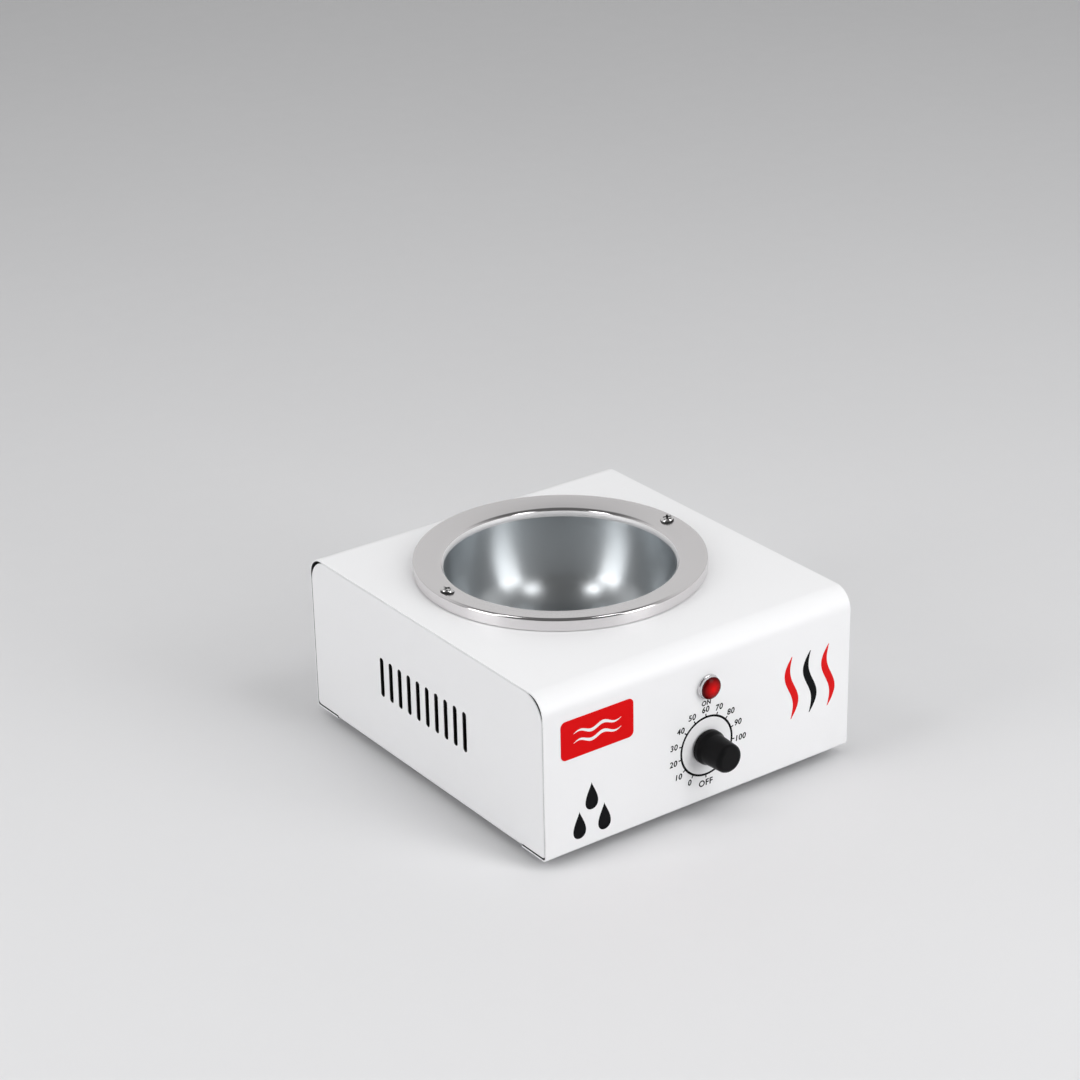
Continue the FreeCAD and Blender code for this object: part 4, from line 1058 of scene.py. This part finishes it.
def flat_word(word, height, middle, lean):
    """Printed word of a given letter height, centred on a flat point of the front panel."""
    text = bpy.data.curves.new("word", "FONT")
    text.body = word
    text.shear = lean
    text.space_character = letter_spacing
    text.resolution_u = letter_steps
    holder = bpy.data.objects.new("word", text)
    bpy.context.scene.collection.objects.link(holder)
    shaped = holder.evaluated_get(bpy.context.evaluated_depsgraph_get())
    flat = bpy.data.meshes.new_from_object(shaped)
    bpy.data.objects.remove(holder)
    bpy.data.curves.remove(text)
    low = Vector((min(v.co.x for v in flat.vertices), min(v.co.y for v in flat.vertices)))
    high = Vector((max(v.co.x for v in flat.vertices), max(v.co.y for v in flat.vertices)))
    scale = height / (high.y - low.y)
    letters = bmesh.new()
    letters.from_mesh(flat)
    bpy.data.meshes.remove(flat)
    for vert in letters.verts:
        point = middle + (vert.co.xy - (low + high) / 2) * scale
        vert.co = on_front(point) + OUT_FRONT * (ink_depth + ink_root)
    bmesh.ops.remove_doubles(letters, verts=letters.verts, dist=same_point)
    bmesh.ops.recalc_face_normals(letters, faces=letters.faces)
    solid = bmesh.ops.extrude_face_region(letters, geom=letters.faces[:])
    roots = [part for part in solid["geom"] if isinstance(part, bmesh.types.BMVert)]
    bmesh.ops.translate(letters, vec=OUT_REAR * (ink_depth + ink_root), verts=roots)
    bmesh.ops.recalc_face_normals(letters, faces=letters.faces)
    return letters


dial_inner = dial_radius - dial_line / 2
dial_outer = dial_radius + dial_line / 2
dial_section = [(dial_inner, -ink_root), (dial_outer, -ink_root), (dial_outer, ink_depth),
                (dial_inner, ink_depth)]
dial_marks = [turned(dial_section, dial_centre, OUT_FRONT, dial_steps)]
number_step = (last_angle - first_angle) / (len(dial_numbers) - 1)
number_angles = [first_angle + number_step * i for i in range(len(dial_numbers))]
for angle in [off_angle] + number_angles:
    along = (clock(angle, tick_end) - clock(angle, tick_start)).normalized()
    across = Vector((-along.y, along.x)) * (tick_width / 2)
    dial_marks.append(inked([clock(angle, tick_start) + across, clock(angle, tick_end) + across,
                             clock(angle, tick_end) - across, clock(angle, tick_start) - across]))
for number, angle in zip(dial_numbers, number_angles):
    further = number_room * (len(str(number)) - 1) * abs(math.sin(math.radians(angle)))
    dial_marks.append(lettering(str(number), number_height, clock(angle, number_radius + further)))
dial_marks.append(lettering("OFF", off_height, clock(off_angle, off_radius), 0))
on_middle = Vector((lamp_centre.x - on_left, lamp_centre.z - on_drop))
dial_marks.append(lettering("ON", on_height, on_middle))
piece("dial_print", joined(dial_marks), black_ink)

drop_places = ((-0.0905, 0.0235), (-0.0725, 0.0235), (-0.0815, 0.0400))
drop_half_width = 0.0085 * 0.78
drop_half_height = 0.0085 * 1.05
drop_narrowing = 1.6
drop_steps = 40


def drop(x, z):
    """Printed drop: round below, drawn out to a point above."""
    outline = []
    for i in range(drop_steps):
        turn = 2 * math.pi * i / drop_steps
        narrow = math.sin(turn / 2) ** drop_narrowing
        outline.append(Vector((x + drop_half_width * math.sin(turn) * narrow,
                               z + drop_half_height * math.cos(turn))))
    return inked(outline)


piece("drop_print", joined([drop(*place) for place in drop_places]), black_ink)

wave_spots = (0.0690, 0.0835, 0.0980)
wave_low = 0.0400
wave_high = 0.0820
wave_swing = 0.0034
wave_width = 0.0056
wave_steps = 36
stroke_tip = 0.06
stroke_fullness = 0.7


def taper(share):
    """How much of its full width a stroke has at a share of its length, thin at both ends."""
    return max(math.sin(math.pi * share), stroke_tip) ** stroke_fullness


def heat_wave(x):
    """Printed stroke that rises in one slow wave and tapers at both ends."""
    left = []
    right = []
    for i in range(wave_steps + 1):
        share = i / wave_steps
        middle = Vector((x + wave_swing * math.sin(2 * math.pi * share),
                         wave_low + (wave_high - wave_low) * share))
        half = wave_width / 2 * taper(share)
        left.append(middle - Vector((half, 0)))
        right.append(middle + Vector((half, 0)))
    return inked(left + right[::-1])


piece("red_wave_print", joined([heat_wave(wave_spots[0]), heat_wave(wave_spots[2])]), red_ink)
piece("black_wave_print", heat_wave(wave_spots[1]), black_ink)


# Badge: a plain red self-adhesive panel with rounded corners and two white waves printed on it, cut
# from vinyl and stuck flat on the front.
badge_middle = Vector((-0.0770, 0.0815))
badge_size = Vector((0.0520, 0.0250))
badge_corner = 0.0035
badge_depth = 0.00025
badge_wave_length = 0.034
badge_wave_swing = 0.0013
badge_wave_width = 0.0022
badge_wave_count = 2
badge_wave_rises = (0.0030, -0.0030)
badge_edge = 0.00008


def badge_outline(inset):
    """Rounded outline of the badge, drawn in by an inset."""
    half = badge_size / 2 - Vector((inset, inset))
    ways = ((-1, -1), (1, -1), (1, 1), (-1, 1))
    corners = [badge_middle + Vector((across * half.x, up * half.y)) for across, up in ways]
    return rounded_outline(corners, [badge_corner - inset] * 4)


red_vinyl = finish("red_vinyl", (0.68, 0.002, 0.003), 0.45, specular=0.06)
tint(red_vinyl, grain(red_vinyl, 40, 3), (0.66, 0.002, 0.003), (0.70, 0.003, 0.004))
vary(red_vinyl, "Roughness", grain(red_vinyl, 60, 2), 0.40, 0.52)
relief(red_vinyl, grain(red_vinyl, 50, 1), 0.00001)
piece("red_badge", inked(badge_outline(0), badge_depth), red_vinyl, eased=badge_edge)
white_ink = finish("white_ink", (0.84, 0.84, 0.85), 0.35)
vary(white_ink, "Roughness", grain(white_ink, 500, 3), 0.3, 0.42)
relief(white_ink, grain(white_ink, 900, 2), 0.00001)


def badge_wave(z):
    """White stroke that runs across the badge in two slow waves and tapers at both ends."""
    upper = []
    lower = []
    for i in range(wave_steps + 1):
        share = i / wave_steps
        x = badge_middle.x + (share - 0.5) * badge_wave_length
        swing = badge_wave_swing * math.sin(2 * math.pi * badge_wave_count * share)
        middle = Vector((x, z + swing))
        half = badge_wave_width / 2 * taper(share)
        upper.append(middle + Vector((0, half)))
        lower.append(middle - Vector((0, half)))
    return inked(lower + upper[::-1], badge_depth + ink_depth)


badge_waves = joined([badge_wave(badge_middle.y + rise) for rise in badge_wave_rises])
piece("badge_waves", badge_waves, white_ink)


# Knob: a black phenolic moulding with a low skirt, a slightly tapered grip, a rounded end and a
# pointer groove. It pushes on to the flatted thermostat shaft and turns with it.
knob_low, knob_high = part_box("knob")
knob_reach = front_y - knob_low[1]
knob_panel_gap = front_y - knob_high[1]
knob_skirt_radius = 0.0109
knob_skirt_height = 0.0042
knob_skirt_round = 0.0016
knob_neck_height = 0.0068
knob_neck_step = 0.0011
knob_neck_radius = knob_skirt_radius - knob_neck_step
knob_neck_round = 0.0030
knob_taper = 0.0008
knob_end_radius = knob_neck_radius - knob_taper
knob_end_round = 0.0032
knob_wall = 0.0019
knob_recess_radius = knob_skirt_radius - knob_wall
knob_recess_end = 0.0052
knob_foot_rounds = (0.0002, 0.0004)
knob_steps = 128
pointer_width = 0.0012
pointer_depth = 0.0005
knob_plastic = finish("knob_plastic", (0.004, 0.004, 0.0045), 0.38, specular=0.1)
tint(knob_plastic, grain(knob_plastic, 120, 4), (0.003, 0.003, 0.0035), (0.006, 0.006, 0.0065))
vary(knob_plastic, "Roughness", grain(knob_plastic, 260, 4), 0.32, 0.46)
relief(knob_plastic, grain(knob_plastic, 1800, 2), 0.000012)
knob_corners = [(knob_recess_radius, knob_panel_gap), (knob_skirt_radius, knob_panel_gap),
                (knob_skirt_radius, knob_skirt_height), (knob_neck_radius, knob_neck_height),
                (knob_end_radius, knob_reach), (0, knob_reach), (0, knob_recess_end),
                (knob_recess_radius, knob_recess_end)]
knob_rounds = [*knob_foot_rounds, knob_skirt_round, knob_neck_round, knob_end_round, 0, 0, 0]
groove_left = dial_centre.x - pointer_width / 2
groove_right = dial_centre.x + pointer_width / 2
groove_low = dial_centre.z - knob_skirt_radius - overrun
groove_high = dial_centre.z - knob_end_radius + pointer_depth
groove_start = front_y - knob_skirt_height + pointer_depth
groove_outline = [Vector((groove_left, groove_low)), Vector((groove_right, groove_low)),
                  Vector((groove_right, groove_high)), Vector((groove_left, groove_high))]
groove = slab(groove_outline, lambda p: Vector((p.x, groove_start, p.y)),
              OUT_FRONT * (knob_reach + overrun))
knob_blank = turned(rounded_outline(knob_corners, knob_rounds), dial_centre, OUT_FRONT, knob_steps)
knob = worked(knob_blank, [groove])
piece("moulded_knob", knob, knob_plastic, ["knob"], body="control_knob")


# Floor: a plain pale studio surface under the feet, painted matt and wide enough to fill the
# picture, with a faint unevenness.
floor_reach = 6.0
floor_paint = finish("pale_floor", (0.72, 0.72, 0.73), 0.7)
tint(floor_paint, grain(floor_paint, 3, 2), (0.71, 0.71, 0.72), (0.73, 0.73, 0.74))
vary(floor_paint, "Roughness", grain(floor_paint, 40, 3), 0.62, 0.78)
floor_mesh = bpy.data.meshes.new("studio_floor")
floor_mesh.from_pydata([(-floor_reach, -floor_reach, 0), (floor_reach, -floor_reach, 0),
                        (floor_reach, floor_reach, 0), (-floor_reach, floor_reach, 0)], [], [(0, 1, 2, 3)])
floor_mesh.materials.append(floor_paint)
floor = bpy.data.objects.new("studio_floor", floor_mesh)
bpy.context.scene.collection.objects.link(floor)


# Light: to the right and to the left of the camera, a soft box low down and a small one high up show
# in the metal. A tall fill on each side and one overhead light the coat without a reflection. The soft
# grey room is paler behind the object than overhead and behind the camera.
box_distance = 1.9
fill_distance = 3.0
low_box = (0.8, 1.25)
high_box = (0.4, 0.4)
tall_fill = (0.9, 3.4)
top_fill = (1.6, 1.6)


def soft_box(name, azimuth, elevation, size, power, distance=box_distance, mirrored=True):
    """Soft light round the object at an angle from its front, to the right, and an angle up."""
    lamp = bpy.data.lights.new(name, "AREA")
    lamp.shape = "RECTANGLE"
    lamp.size, lamp.size_y = size
    lamp.energy = power
    holder = bpy.data.objects.new(name, lamp)
    turn = math.radians(azimuth)
    rise = math.radians(elevation)
    away = Vector((math.sin(turn) * math.cos(rise), -math.cos(turn) * math.cos(rise), math.sin(rise)))
    holder.location = bowl_axis + away * distance
    holder.rotation_euler = (-away).to_track_quat("-Z", "Y").to_euler()
    holder.visible_glossy = mirrored
    bpy.context.scene.collection.objects.link(holder)


soft_box("right_low_box", azimuth=24, elevation=20, size=low_box, power=8.6)
soft_box("right_high_box", azimuth=15, elevation=60, size=high_box, power=2.4)
soft_box("right_fill", 18, 36, tall_fill, power=36.0, distance=fill_distance, mirrored=False)
soft_box("left_low_box", azimuth=-95, elevation=20, size=low_box, power=8.8)
soft_box("left_high_box", azimuth=-95, elevation=60, size=high_box, power=2.4)
soft_box("left_fill", -96, 36, tall_fill, power=12.5, distance=fill_distance, mirrored=False)
soft_box("top_fill", -40, 78, top_fill, power=14.5, distance=fill_distance, mirrored=False)

room = bpy.data.worlds.new("studio_room")
room.use_nodes = True
room_nodes = room.node_tree.nodes
room_front = (-0.58, -0.81, 0.0)
wall_fade = (-0.4, 0.8)
wall_level = 0.55
ceiling_fade = (0.65, 0.92)
dim_level = 0.13


def fading(source, fade, level):
    """Light of the room that falls softly from a level to none across a fade."""
    ramp = room_nodes.new("ShaderNodeMapRange")
    ramp.interpolation_type = "SMOOTHSTEP"
    ramp.inputs["From Min"].default_value = fade[0]
    ramp.inputs["From Max"].default_value = fade[1]
    ramp.inputs["To Min"].default_value = level
    ramp.inputs["To Max"].default_value = 0.0
    link(room, source, ramp.inputs["Value"])
    return ramp.outputs["Result"]


toward_front = room_nodes.new("ShaderNodeVectorMath")
toward_front.operation = "DOT_PRODUCT"
toward_front.inputs[1].default_value = room_front
room_direction = room_nodes.new("ShaderNodeTexCoord").outputs["Generated"]
link(room, room_direction, toward_front.inputs[0])
height_split = room_nodes.new("ShaderNodeSeparateXYZ")
link(room, room_direction, height_split.inputs["Vector"])
room_light = room_nodes.new("ShaderNodeMath")
room_light.operation = "MULTIPLY_ADD"
room_light.inputs[2].default_value = dim_level
link(room, fading(toward_front.outputs["Value"], wall_fade, wall_level), room_light.inputs[0])
link(room, fading(height_split.outputs["Z"], ceiling_fade, 1.0), room_light.inputs[1])
link(room, room_light.outputs["Value"], room_nodes["Background"].inputs["Strength"])
room_nodes["Background"].inputs["Color"].default_value = (1.0, 1.0, 1.0, 1)
bpy.context.scene.world = room


# Camera: a long lens at the photograph's place and angle, a little turned about its own axis, with
# everything in focus.
camera_place = Vector((-0.92495, -1.25100, 0.85155))
camera_aim = Vector((0.00028, 0.04421, 0.12078))
camera_roll = math.radians(-1.2)
camera_lens = 93.98
camera_sensor = 36
ahead = (camera_aim - camera_place).normalized()
right = ahead.cross(UP).normalized()
above = right.cross(ahead)
rolled_right = right * math.cos(camera_roll) + above * math.sin(camera_roll)
rolled_above = above * math.cos(camera_roll) - right * math.sin(camera_roll)
camera_data = bpy.data.cameras.new("photo_camera")
camera_data.lens = camera_lens
camera_data.sensor_width = camera_sensor
camera = bpy.data.objects.new("photo_camera", camera_data)
camera.matrix_world = Matrix.Translation(camera_place) @ Matrix((
    (rolled_right.x, rolled_above.x, -ahead.x, 0), (rolled_right.y, rolled_above.y, -ahead.y, 0),
    (rolled_right.z, rolled_above.z, -ahead.z, 0), (0, 0, 0, 1)))
bpy.context.scene.collection.objects.link(camera)
bpy.context.scene.camera = camera
bpy.context.scene.view_settings.view_transform = "Standard"
